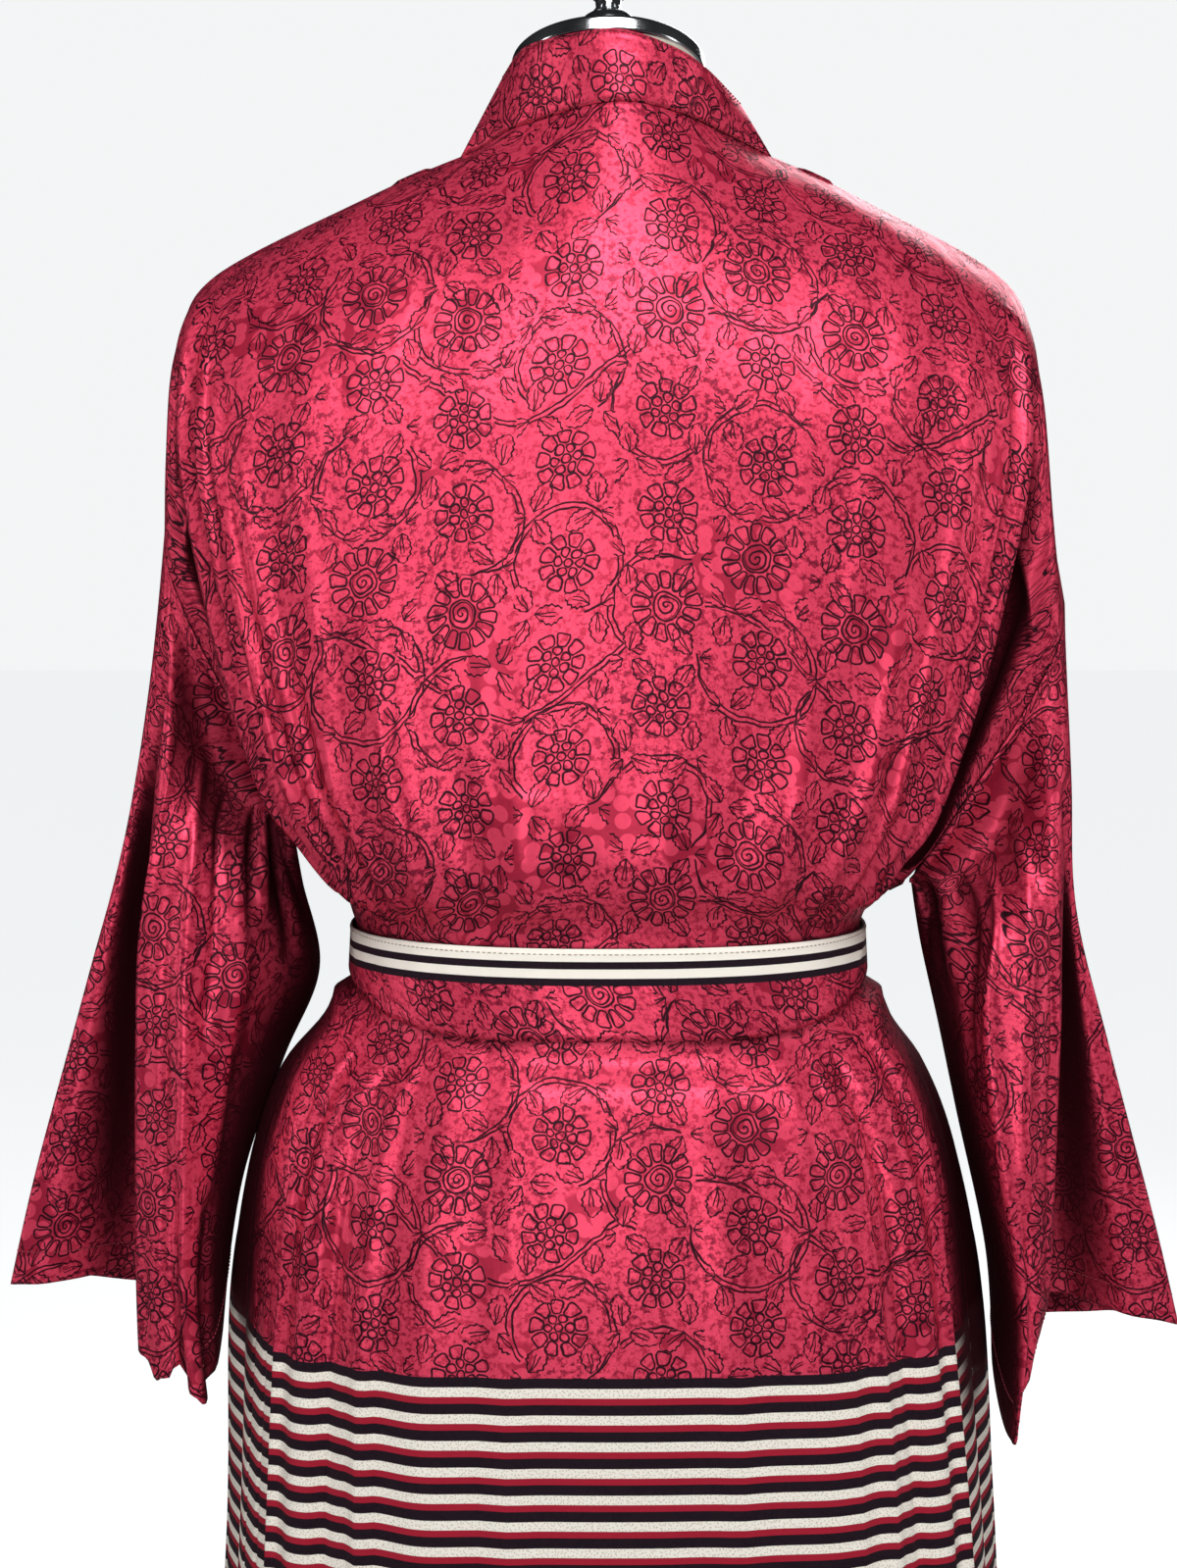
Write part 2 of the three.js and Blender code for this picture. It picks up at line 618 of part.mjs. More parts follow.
function sleeve(side) {
  const hole = armhole(side);
  // 1 at the underarm, where the sleeve turns away from the side seam, and 0 round the rest.
  const middle = armholeLevels.length - 1;
  const under = hole.map((_, k) => Math.max(1 - Math.abs(k - middle) / 2.5, 0));
  const rings = sleeveRings[side > 0 ? "left" : "right"].map((ring) => sleeveRing(ring, side));
  const start = hole.map(({ p }, k) => {
    const heading = rings[0][k].clone().sub(p).normalize();
    const room = v3(side * 1.7, 0, -0.9).multiplyScalar(under[k]);
    return p.clone().addScaledVector(heading, seamGap + 0.4).add(room);
  });
  const lines = start.map((p, k) => [p, ...rings.map((ring) => ring[k])].map((q) => q.toArray()));
  const places = [0, 0.25, 0.5, 0.75, 1, 1.5, 2, 2.5, 3, 3.5, 4, 4.5, 5];
  const grid = places.map((place) => lines.map((line) => v3(...along(line, place))));
  const ordered = side > 0 ? grid.map((row) => [...row].reverse()) : grid;
  const normals = outward(ordered, true);
  const edge = hole.map(({ normal }, k) => ({ normal, share: under[k] }));
  if (side > 0) edge.reverse();
  normals[0] = normals[0].map((own, k) => {
    const { normal, share } = edge[k];
    return normal.clone().lerp(own, share).normalize();
  });
  return wall(ordered, normals, clothWall, true);
}

// A point on a ring at an angle measured from +X towards +Y.
function ringPoint(ring, angle, z) {
  const [c, s] = [Math.cos(angle), Math.sin(angle)];
  const depth = s > 0 ? ring.back : ring.front;
  const p = v3(c * ring.half, s * depth, z);
  const r = reach(p, ring);
  return v3(p.x / r, p.y / r, z);
}

const turn = (count) => Array.from({ length: count }, (_, k) => (2 * Math.PI * k) / count);

function sash() {
  const rows = [0, 0.35, 0.7, 1].map((share) =>
    turn(48).map((angle) => {
      const spot = ringPoint(sashRing(sashTop), angle, sashTop);
      const z = THREE.MathUtils.lerp(sashTop, sashLow(spot.x, spot.y), share);
      const { half, back: rear, front: fore } = sashRing(z);
      const ring = { half: half + bandWall, back: rear + bandWall, front: fore + bandWall };
      return ringPoint(ring, angle, z);
    }),
  );
  return plainWall(rows.map((row) => row.reverse()), bandWall, true);
}

// The knot lies on the sash in front, and the two tails hang from it over the skirt.
const knotX = 20;
const knotY = -(111 + bandWall + seamGap);
const knotZ = (sashTop + sashBottom) / 2;
const knotDepth = 17;

const knotSquareness = 0.75;
const knotProfile = table(["deep", "width", "height"], [
  [0, 25, 24.5],
  [0.2, 28, 25],
  [0.6, 26, 23],
  [0.88, 20, 18],
  [1, 12, 11],
]);

function knot() {
  const rows = knotProfile.map(({ deep, width, height }) =>
    turn(20).map((angle) => {
      const squared = (value) => Math.sign(value) * Math.abs(value) ** knotSquareness;
      const [x, z] = [width * squared(Math.cos(angle)), height * squared(Math.sin(angle))];
      return v3(knotX + x, knotY - knotDepth * deep + 0.04 * x, knotZ + z - 0.08 * x);
    }),
  );
  return lofted(rows);
}

// The height of the knot's underside.
function knotFoot(x, y) {
  const deep = (knotY - y) / knotDepth;
  const next = Math.max(knotProfile.findIndex((row) => row.deep > deep), 1);
  const [low, high] = [knotProfile[next - 1], knotProfile[next]];
  const t = (deep - low.deep) / (high.deep - low.deep);
  const width = THREE.MathUtils.lerp(low.width, high.width, t);
  const height = THREE.MathUtils.lerp(low.height, high.height, t);
  const power = 2 / knotSquareness;
  const side = Math.min(Math.abs(x - knotX) / width, 1);
  return knotZ - height * (1 - side ** power) ** (1 / power) - 0.08 * (x - knotX);
}

// A solid through closed rings, with a flat cap at each end.
function lofted(rows) {
  const cols = rows[0].length;
  const points = rows.flat();
  const middle = (row) => row.reduce((sum, p) => sum.add(p), v3(0, 0, 0)).divideScalar(row.length);
  const first = points.push(middle(rows[0])) - 1;
  const last = points.push(middle(rows[rows.length - 1])) - 1;
  const faces = [];
  for (let j = 0; j < cols; j += 1) {
    const k = (j + 1) % cols;
    for (let i = 0; i < rows.length - 1; i += 1) {
      const [a, b, c, d] = [i * cols + j, i * cols + k, (i + 1) * cols + k, (i + 1) * cols + j];
      faces.push(a, b, c, a, c, d);
    }
    const foot = (rows.length - 1) * cols;
    faces.push(first, k, j, last, foot + j, foot + k);
  }
  return closedMesh(points, faces);
}

// A tail of the sash: it comes out under the knot, leans sideways as it falls, and lies on the
// upper front.
function tail(lean, lift, length) {
  const rows = Array.from({ length: 13 }, (_, k) => {
    const share = k / 12;
    const z = sashBottom - 2.5 - share * length;
    const x = knotX + lean * (0.25 + 0.75 * share);
    const half = (tailWidth / 2) * (0.4 + 0.6 * Math.min(share * 3, 1));
    const wave = 1.2 * Math.sin(share * 11 + lean);
    return [1, 0.33, -0.33, -1].map((w) => {
      const y = frontY(x + half * w, z) - wrapStep - lift - Math.abs(wave) * (1 + w);
      return v3(x + half * w, y, k === 0 ? knotFoot(x + half * w, y) - seamGap : z);
    });
  });
  return plainWall(rows, bandWall);
}

function formTorso() {
  const top = formSections[formSections.length - 1].z;
  const heights = formSections.map((row) => row.z);
  const rows = heights.map((z) => {
    const lean = neckTilt * Math.min(Math.max((z - 1441) / (top - 1441), 0), 1);
    return turn(32).map((angle) => {
      const p = ringPoint(formRing(z, 0), angle, z);
      p.z += lean * p.y;
      return p;
    });
  });
  return lofted(rows);
}

// A solid of revolution about its own +Z, from radius and height pairs that start and end on it.
function turned(profile, segments) {
  const outline = profile.map(([r, z]) => new THREE.Vector2(r, z));
  return new THREE.LatheGeometry(outline, segments).rotateX(Math.PI / 2);
}

// Radius and height pairs.
const capProfile = [[0, 0], [49, 0], [50.5, 1.5], [50.5, 8], [49, 9.5], [38, 12], [24, 14], [0, 14]];
const knobProfile = [
  [0, 0], [20, 0], [20, 5], [16.5, 12], [14, 18], [9, 22], [6.5, 26], [7, 31], [12, 36], [14, 43],
  [12, 50], [6, 55], [0, 56],
];
const baseProfile = [
  [0, 0], [baseRadius, 0], [baseRadius, 6], [baseRadius - 5, baseHeight - 3], [60, baseHeight],
  [32, baseHeight + 8], [24, baseHeight + 24], [24, baseHeight + 40], [0, baseHeight + 40],
];

const satin = new THREE.MeshStandardMaterial({ color: 0xb81f42, roughness: 0.42, metalness: 0 });
const bandCloth = satin.clone();
const linen = new THREE.MeshStandardMaterial({ color: 0xe2d9c8, roughness: 0.85, metalness: 0 });
const chrome = new THREE.MeshStandardMaterial({ color: 0xc9ccd0, roughness: 0.12, metalness: 1 });
const blackMetal = new THREE.MeshStandardMaterial({ color: 0x1b1b1d, roughness: 0.45, metalness: 0.6 });

const root = new THREE.Group();

function add(name, geometry, material) {
  const mesh = new THREE.Mesh(geometry, material);
  mesh.name = name;
  root.add(mesh);
  return mesh;
}

add("back_panel", wall(back.grid, back.normals, clothWall), satin);
add("front_left", wall(fronts.left.grid, fronts.left.normals, clothWall), satin);
add("front_right", wall(fronts.right.grid, fronts.right.normals, clothWall), satin);
add("sleeve_left", sleeve(1), satin);
add("sleeve_right", sleeve(-1), satin);
add("neckband", neckband(), bandCloth);
add("sash_band", sash(), bandCloth);
add("sash_knot", knot(), bandCloth);
add("sash_tail_upper", tail(-16, 9.5, tailLength - 20), bandCloth);
add("sash_tail_under", tail(22, 4, tailLength), bandCloth);
add("form_torso", formTorso(), linen);

const neckTop = formSections[formSections.length - 1].z;
const capGroup = new THREE.Group();
capGroup.position.set(0, 1, neckTop + neckTilt + seamGap * 1.3);
capGroup.rotation.x = Math.atan(neckTilt);
root.add(capGroup);
const cap = new THREE.Mesh(turned(capProfile, 30), chrome);
cap.name = "neck_cap";
const knob = new THREE.Mesh(turned(knobProfile, 16), chrome);
knob.name = "neck_knob";
knob.position.z = 14 + seamGap;
capGroup.add(cap, knob);

add("stand_base", turned(baseProfile, 32), blackMetal);
const poleBottom = baseHeight + 40 + seamGap;
const poleTop = formSections[0].z - seamGap;
const pole = new THREE.CylinderGeometry(poleRadius, poleRadius, poleTop - poleBottom, 20);
pole.rotateX(Math.PI / 2).translate(0, 0, (poleTop + poleBottom) / 2);
add("stand_pole", pole, chrome);

export default root;
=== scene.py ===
"""A satin kimono robe worn by a limbless dress form on a round-based stand.

The robe is a T-shaped back and two fronts, wide sleeves, a band round the neck and down both
front edges, and a sash with a knot and two tails. Shapes are worked out in millimetres from the
same sizes and tables as the solids, on finer grids and with finer folds, and become meshes in
metres. The wearer's front faces -Y and the wearer's left is +X.
"""

from __future__ import annotations

import logging
import math
from dataclasses import dataclass, field
from enum import Enum

import bpy
import numpy as np
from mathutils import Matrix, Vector

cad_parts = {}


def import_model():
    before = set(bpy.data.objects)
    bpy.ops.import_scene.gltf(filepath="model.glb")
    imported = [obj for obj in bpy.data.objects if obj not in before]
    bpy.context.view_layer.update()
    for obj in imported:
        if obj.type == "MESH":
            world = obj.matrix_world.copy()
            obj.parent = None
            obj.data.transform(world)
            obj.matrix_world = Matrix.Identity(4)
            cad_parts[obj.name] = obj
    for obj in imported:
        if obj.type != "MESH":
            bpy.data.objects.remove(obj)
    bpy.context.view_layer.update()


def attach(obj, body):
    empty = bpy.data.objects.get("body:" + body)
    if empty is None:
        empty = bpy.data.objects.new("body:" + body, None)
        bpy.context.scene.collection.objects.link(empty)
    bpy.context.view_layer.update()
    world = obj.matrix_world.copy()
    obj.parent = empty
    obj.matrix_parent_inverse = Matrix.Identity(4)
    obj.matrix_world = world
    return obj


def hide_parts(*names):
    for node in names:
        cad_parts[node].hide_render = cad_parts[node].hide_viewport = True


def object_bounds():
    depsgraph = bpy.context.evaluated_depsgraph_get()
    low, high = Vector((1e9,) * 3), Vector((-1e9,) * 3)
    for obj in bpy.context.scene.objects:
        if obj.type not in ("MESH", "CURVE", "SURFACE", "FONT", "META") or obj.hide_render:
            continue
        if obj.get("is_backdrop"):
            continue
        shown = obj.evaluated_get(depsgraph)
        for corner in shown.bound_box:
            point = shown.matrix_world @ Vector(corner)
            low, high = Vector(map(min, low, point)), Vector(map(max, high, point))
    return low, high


LOG = logging.getLogger("robe")
MM = 0.001  # one millimetre in metres
Amount = np.ndarray | float  # one number, or one for each point

# Driving dimensions, in millimetres.
CLOTH_WALL = 1.3
BAND_WALL = 1.8
SEAM_GAP = 0.3
WRAP_STEP = 5.0
BAND_WIDTH = 42.0
SASH_TOP = 1036.0
SASH_BOTTOM = 990.0
SASH_EASE = 1.3
SASH_HALF, SASH_BACK, SASH_FRONT = 135.5, 103.5, 111.0  # its inner face at the upper edge
TAIL_LENGTH = 400.0
TAIL_WIDTH = 44.0
NECK_LEAN = 6.0
SKIRT_LEANS = (0, 2.2, 2, 0.7, -2)
SKIRT_LEVEL = 10
RING_POWER = 2.3
REST_GAP = 0.7 + CLOTH_WALL
BAND_GAP = REST_GAP + BAND_WALL + 1
BAND_MARGIN = 10.0
UNDERARM = 7  # the level of the underarm
BOUNDARY = 13  # the level where the print ends and the stripes begin

# The dress form: height, half width, depth behind and depth in front of its axis.
FORM_SECTIONS = (
    (716, 146, 92, 86),
    (738, 160, 104, 96),
    (785, 171, 113, 103),
    (835, 175, 117, 105),
    (885, 168, 114, 103),
    (935, 149, 102, 98),
    (985, 129, 89, 92),
    (1025, 120, 82, 89),
    (1060, 122, 83, 91),
    (1110, 131, 88, 101),
    (1160, 140, 94, 116),
    (1205, 147, 98, 125),
    (1245, 152, 100, 120),
    (1285, 161, 99, 104),
    (1318, 178, 93, 86),
    (1342, 195, 82, 70),
    (1358, 203, 70, 58),
    (1372, 195, 60, 48),
    (1388, 174, 53, 43),
    (1402, 149, 52, 43),
    (1413, 118, 49, 42),
    (1425, 87, 48, 43),
    (1441, 59, 47, 45),
    (1458, 51, 47, 46),
    (1477, 48.5, 47.5, 47.5),
)

# Back panel, one row for each level: middle line, beside the neck, shoulder blade, crest and
# valley of the hanging fold, the cloth that falls towards the sleeve, and the sewn edge.
BACK_STATIONS = ("centre", "neck", "blade", "crest", "valley", "lobe", "edge")
BACK_ROWS = (
    ((0, 67, 1454), (81, 6, 1437), (136, 2, 1413), (205, 2, 1377), (224, 2, 1347), (228, 2, 1300),
     (234, 2, 1249)),
    ((0, 78, 1426), (84, 46, 1415), (142, 43, 1393), (209, 38, 1354), (224, 30, 1324),
     (229, 28, 1278), (231, 30, 1230)),
    ((0, 95, 1381), (85, 80, 1373), (150, 73, 1354), (211, 58, 1324), (211, 26, 1300),
     (221, 32, 1250), (224, 42, 1208)),
    ((0, 108, 1320), (86, 101, 1315), (152, 92, 1302), (208, 70, 1276), (192, 16, 1260),
     (210, 30, 1218), (214, 44, 1184)),
    ((0, 113, 1255), (86, 108, 1252), (148, 99, 1242), (197, 75, 1220), (177, 12, 1208),
     (196, 24, 1176), (201, 38, 1158)),
    ((0, 115, 1190), (84, 110, 1188), (142, 100, 1180), (183, 76, 1160), (166, 16, 1150),
     (180, 14, 1134), (187, 26, 1131)),
    ((0, 116, 1132), (80, 110, 1130), (133, 98, 1122), (168, 71, 1110), (158, 24, 1104),
     (167, 10, 1102), (174, 12, 1107)),
    ((0, 117, 1098), (76, 110, 1096), (125, 95, 1092), (156, 66, 1090), (153, 34, 1088),
     (160, 14, 1089), (166, 3, 1091)),
    ((0, 114, 1066), (70, 107, 1066), (114, 89, 1065), (141, 60, 1064), (142, 35, 1064),
     (146, 16, 1065), (148, 2, 1066)),
    ((0, 100, 1037), (62, 92, 1037), (102, 74, 1037), (123, 52, 1037), (131, 32, 1037),
     (135, 15, 1037), (136, 1, 1037)),
    ((0, 102, 990), (64, 94, 990), (104, 77, 990), (129, 56, 990), (141, 36, 990), (148, 18, 990),
     (150, 2, 990)),
    ((0, 118, 955), (72, 110, 955), (119, 92, 955), (148, 68, 955), (160, 44, 955),
     (167, 26, 955), (170, 8, 955)),
    ((0, 127, 905), (79, 120, 905), (132, 103, 905), (162, 78, 905), (175, 53, 905),
     (182, 34, 905), (185, 15, 905)),
    ((0, 134, 828), (84, 128, 828), (139, 110, 828), (170, 84, 828), (182, 58, 828),
     (189, 38, 828), (193, 20, 828)),
    ((0, 138, 700), (86, 133, 700), (146, 114, 700), (179, 88, 700), (192, 62, 700),
     (198, 41, 700), (201, 20, 700)),
    ((0, 148, 480), (92, 142, 480), (155, 122, 480), (191, 94, 480), (205, 66, 480),
     (212, 43, 480), (216, 20, 480)),
    ((0, 160, 235), (98, 154, 235), (165, 132, 235), (203, 102, 235), (218, 71, 235),
     (226, 46, 235), (230, 20, 235)),
)

# Front panels: seam x, seam height, depth at the middle line, then [x, y, z] of the middle of
# the panel and of the fold that falls from the shoulder.
FRONT_ROWS = (
    (81, 1437, 6, (136, 2, 1413), (205, 2, 1377), (224, 2, 1347), (228, 2, 1300)),
    (83, 1403, 56, (146, -38, 1388), (208, -32, 1352), (223, -28, 1320), (229, -24, 1275)),
    (82, 1362, 80, (150, -60, 1350), (209, -48, 1322), (209, -24, 1298), (221, -28, 1248)),
    (76, 1310, 110, (148, -82, 1298), (203, -62, 1274), (191, -18, 1258), (210, -26, 1216)),
    (64, 1252, 130, (138, -108, 1240), (190, -74, 1218), (176, -16, 1206), (196, -22, 1174)),
    (46, 1190, 137, (124, -121, 1180), (176, -80, 1160), (165, -20, 1149), (180, -14, 1133)),
    (24, 1132, 131, (106, -119, 1124), (162, -76, 1110), (157, -28, 1104), (167, -9, 1102)),
    (10, 1098, 124, (95, -113, 1093), (153, -68, 1090), (153, -34, 1088), (160, -10, 1089)),
    (-4, 1066, 117, (84, -105, 1066), (137, -60, 1065), (142, -34, 1065), (146, -13, 1066)),
    (-16, 1037, 104, (74, -94, 1037), (121, -58, 1037), (131, -36, 1037), (135, -16, 1037)),
    (-26, 990, 105, (72, -96, 990), (128, -58, 990), (141, -37, 990), (149, -16, 990)),
    (-32, 955, 117, (82, -109, 955), (150, -64, 955), (167, -40, 955), (175, -16, 955)),
    (-38, 905, 126, (90, -118, 905), (163, -70, 905), (186, -42, 905), (193, -14, 905)),
    (-44, 828, 130, (96, -123, 828), (174, -74, 828), (199, -42, 828), (205.5, -12, 828)),
    (-48, 700, 134, (100, -126, 700), (182, -76, 700), (205, -43, 700), (211, -12, 700)),
    (-52, 480, 144, (106, -136, 480), (194, -82, 480), (215, -46, 480), (223, -13, 480)),
    (-56, 235, 156, (112, -147, 235), (206, -89, 235), (229, -50, 235), (238, -14, 235)),
)

# How far each station slips out and down on the wearer's right, at shoulder and underarm.
SLIP_LAST = 9
SLIPS = {
    "crest": ((1, -12), (2, 14)),
    "valley": ((0, -10), (12, 30)),
    "lobe": ((3, -8), (33, 33)),
    "edge": ((8, -7), (44, 33)),
}

# Sleeve rings from below the armhole to the cuff: outer point, valley, crest, face, inner point,
# chest and front, as [x, y, z] with x measured outwards.
SLEEVE_RINGS = {
    "left": (
        ((242, 0, 1170), (238, 20, 1140), (229, 38, 1112), (196, 36, 1080), (164, -2, 1056),
         (190, -36, 1080), (228, -32, 1124)),
        ((258, 0, 1082), (244, 6, 1058), (240, 40, 1040), (200, 46, 1020), (156, -8, 1008),
         (190, -48, 1024), (236, -38, 1056)),
        ((280, 0, 1003), (246, 2, 982), (242, 43, 968), (206, 50, 956), (177, -20, 957),
         (202, -58, 966), (252, -44, 986)),
        ((309, 0, 900), (247, 0, 886), (243, 48, 868), (213, 57, 856), (199, -22, 896),
         (222, -64, 876), (276, -46, 888)),
        ((324, 0, 836), (249, 2, 836), (242, 51, 812), (209, 58, 795), (211, -20, 833),
         (236, -62, 818), (290, -42, 828)),
    ),
    "right": (
        ((246, 0, 1112), (242, 20, 1092), (230, 42, 1068), (194, 46, 1044), (168, -2, 1024),
         (194, -38, 1044), (232, -34, 1078)),
        ((251, 0, 1042), (240, 8, 1024), (234, 44, 1006), (192, 54, 990), (179, -12, 980),
         (200, -52, 994), (236, -40, 1020)),
        ((270, 0, 968), (238, 2, 950), (233, 48, 940), (197, 62, 926), (191, -24, 930),
         (210, -60, 940), (246, -46, 954)),
        ((296, 0, 872), (236, -2, 868), (231, 52, 858), (211, 67, 838), (209, -26, 850),
         (224, -64, 850), (268, -46, 862)),
        ((310, 0, 814), (238, -2, 826), (227, 52, 830), (209, 67, 774), (213, -24, 792),
         (232, -60, 800), (282, -42, 808)),
    ),
}

# The neckband's free edge round the neck and down each front at its first levels.
STANDING_EDGE = (
    (60, 8, 1479), (49, 34, 1487), (27, 55, 1489), (0, 63, 1490),
    (-28, 56, 1482), (-45, 40, 1474), (-62, 10, 1464),
)
CHEST_EDGE = ((54, -44, 1431), (46, -84, 1384), (38, -114, 1326))

# Soft folds raised in the cloth: across is the station they lie on, from and to are levels, and
# a negative depth is a trough.
BACK_FOLDS = (
    (-2.5, 2, 8.8, 0.35, 4),
    (-1.9, 4, 8.8, 0.4, 4),
    (-1.1, 6, 8.9, 0.4, 4),
    (0.5, 6.4, 8.9, 0.5, 5),
    (1.5, 4.5, 8.9, 0.42, 5),
    (2, 2.5, 8.8, 0.3, 4),
    (2.5, 2, 8.8, 0.35, 5),
    (1.1, 10, 16.5, 0.4, 5),
    (2.3, 10.2, 16.5, 0.42, 6),
    (-1.4, 10, 16.5, 0.5, 5),
    (-2.6, 10.2, 16.5, 0.42, 6),
)
FRONT_FOLDS = (
    (2.6, 10.2, 16.5, 0.5, 7),
    (1.8, 10.2, 16.5, 0.45, 6),
    (1.35, 3, 8.8, 0.5, 5),
)


# --- Reading the tables -------------------------------------------------------------------------


def spline(a: Amount, b: Amount, c: Amount, d: Amount, t: Amount) -> Amount:
    """Catmull-Rom between the middle two of four values."""
    return b + 0.5 * t * (c - a + t * (2 * a - 5 * b + 4 * c - d + t * (3 * (b - c) + d - a)))


def along(table: np.ndarray, index: np.ndarray) -> np.ndarray:
    """Reads a table's first axis smoothly at fractional indices.

    Args:
        table: values, of shape (rows, ...).
        index: fractional rows, one-dimensional.

    Returns:
        The values at those rows, of shape (len(index), ...).
    """
    last = len(table) - 1
    i = np.clip(np.floor(index).astype(int), 0, last - 1)
    rows = [table[np.clip(i + k, 0, last)] for k in (-1, 0, 1, 2)]
    t = (index - i).reshape((-1,) + (1,) * (table.ndim - 1))
    return spline(*rows, t)


def section_at(table: np.ndarray, z: np.ndarray) -> np.ndarray:
    """Reads a table whose first column is a rising height, smoothly at the heights z.

    Args:
        table: rows of height and values.
        z: heights, of any shape.

    Returns:
        The values there, with the columns on a last axis.
    """
    last = len(table) - 1
    flat = np.ravel(z)
    i = np.clip(np.searchsorted(table[:, 0], flat, side="left") - 1, 0, last - 1)
    low, high = table[i, 0], table[i + 1, 0]
    t = np.clip((flat - low) / (high - low), 0, 1)
    return along(table[:, 1:], i + t).reshape(np.shape(z) + (table.shape[1] - 1,))


def lerp(a: Amount, b: Amount, t: Amount) -> Amount:
    """Straight blend of two values."""
    return a + (b - a) * t


FORM = np.array(FORM_SECTIONS, float)


# --- The form, the sash and what they do to the cloth -------------------------------------------


def reach(p: np.ndarray, half: Amount, back: Amount, front: Amount) -> np.ndarray:
    """How far out points lie on a squarish ring.

    Args:
        p: points, with x, y, z on the last axis.
        half: the ring's half width.
        back: its depth towards +Y.
        front: its depth towards -Y.

    Returns:
        The share of the way out from the axis, 1 on the ring.
    """
    depth = np.where(p[..., 1] > 0, back, front)
    total = np.abs(p[..., 0] / half) ** RING_POWER + np.abs(p[..., 1] / depth) ** RING_POWER
    return total ** (1 / RING_POWER)


def clear_of_form(p: np.ndarray, gap: Amount) -> np.ndarray:
    """Moves points off the form until the stated gap is left.

    Args:
        p: points, with x, y, z on the last axis.
        gap: the gap, in millimetres, one for all or one for each point.

    Returns:
        The moved points.
    """

    def value(q: np.ndarray) -> np.ndarray:
        """How far past the form's surface points lie, 0 on it."""
        section = section_at(FORM, q[..., 2])
        return reach(q, section[..., 0], section[..., 1], section[..., 2]) - 1

    p = p.copy()
    free = p[..., 2] >= FORM[-1, 0]
    for _ in range(4):
        f = value(p)
        slope = np.stack([(value(p + 0.5 * axis) - f) / 0.5 for axis in np.eye(3)], axis=-1)
        steep = np.maximum(np.linalg.norm(slope, axis=-1), 1e-4)
        distance = f / steep
        held = (distance < gap) & (distance > -60) & ~free
        push = np.where(held, gap - distance, 0) / steep
        p += slope * push[..., None]
    return p


def sash_low(p: np.ndarray) -> np.ndarray:
    """The sash's lower edge, which is folded up a little at the wearer's sides."""
    across = np.abs(p[..., 0]) / np.maximum(np.hypot(p[..., 0], p[..., 1]), 1)
    return SASH_BOTTOM + 25 * across**8


def sash_ring(z: Amount) -> tuple[Amount, Amount, Amount]:
    """Half width, back and front depth of the sash's inner face at a height."""
    drop = (SASH_TOP - z) / (SASH_TOP - SASH_BOTTOM)
    return SASH_HALF + 2.5 * drop, SASH_BACK + 3.5 * drop, SASH_FRONT + 0 * drop


def cinch(p: np.ndarray, under: Amount, margin: Amount = 0.0) -> np.ndarray:
    """Draws cloth in under the sash; away from it the cloth spreads again.

    Args:
        p: points of the cloth's outer face.
        under: how far this layer lies inside the one that touches the sash.
        margin: how far above and below the sash the cloth stays drawn in.

    Returns:
        The drawn-in points.
    """
    low = sash_low(p)
    z = p[..., 2]
    above, below = z - SASH_TOP - margin, low - np.maximum(margin, 5) - z
    away = np.maximum(np.maximum(above, below), 0)
    shrink = SASH_EASE + under - away * away * np.where(below > 0, 0.16, 0.055)
    half, back, front = sash_ring(np.clip(z, low, SASH_TOP))
    r = reach(p, half - shrink, back - shrink, front - shrink)
    hold = np.maximum(1 - away / 12, 0)
    wanted = np.where(r > 1, 1, r + (1 - r) * hold)
    scale = wanted / np.maximum(r, 1e-6)
    return p * np.stack([scale, scale, np.ones_like(scale)], axis=-1)


def push_out(p: np.ndarray, distance: Amount) -> np.ndarray:
    """Moves points straight away from the body's upright axis.

    Args:
        p: points.
        distance: how far, in millimetres.

    Returns:
        The moved points.
    """
    radius = np.hypot(p[..., 0], p[..., 1])
    share = np.where(radius < 1, 0, distance / np.maximum(radius, 1))
    return p * np.stack([1 + share, 1 + share, np.ones_like(share)], axis=-1)


def leant(p: np.ndarray, near: Amount, level: Amount) -> np.ndarray:
    """Shifts the neck towards the wearer's right, and the skirt a little to the left.

    Args:
        p: points.
        near: how many stations they lie from the middle line.
        level: their levels.

    Returns:
        The moved points.
    """
    neck = NECK_LEAN * np.maximum(1 - level / 6, 0) * np.maximum(1 - near / 3, 0)
    skirt = np.interp(level - SKIRT_LEVEL, range(len(SKIRT_LEANS)), SKIRT_LEANS)
    moved = p.copy()
    moved[..., 0] += skirt - neck
    return moved


def neck_room(near: Amount, level: Amount) -> Amount:
    """Extra gap to the form near the neckline."""
    return 2.4 * np.maximum(1 - level, 0) * np.clip(1.75 - near, 0, 1)


def fold_height(folds: tuple, across: np.ndarray, level: np.ndarray) -> np.ndarray:
    """Height of the raised folds at a place.

    Args:
        folds: rows of across, from, to, width, depth, and where a fold slants, the station that
            it reaches at its lower end.
        across: stations, of the grid's shape.
        level: levels, of the grid's shape.

    Returns:
        The height, in millimetres.
    """
    total = np.zeros(np.broadcast(across, level).shape)
    for start, top, foot, width, depth, *end in folds:
        middle, half = (top + foot) / 2, (foot - top) / 2
        t = (level - middle) / half
        ridge = lerp(start, end[0], np.clip((t + 1) / 2, 0, 1)) if end else start
        lengthwise = np.sqrt(np.maximum(1 - t * t, 0))
        total += depth * lengthwise * np.exp(-(((across - ridge) / width) ** 2) * 2.5)
    return total


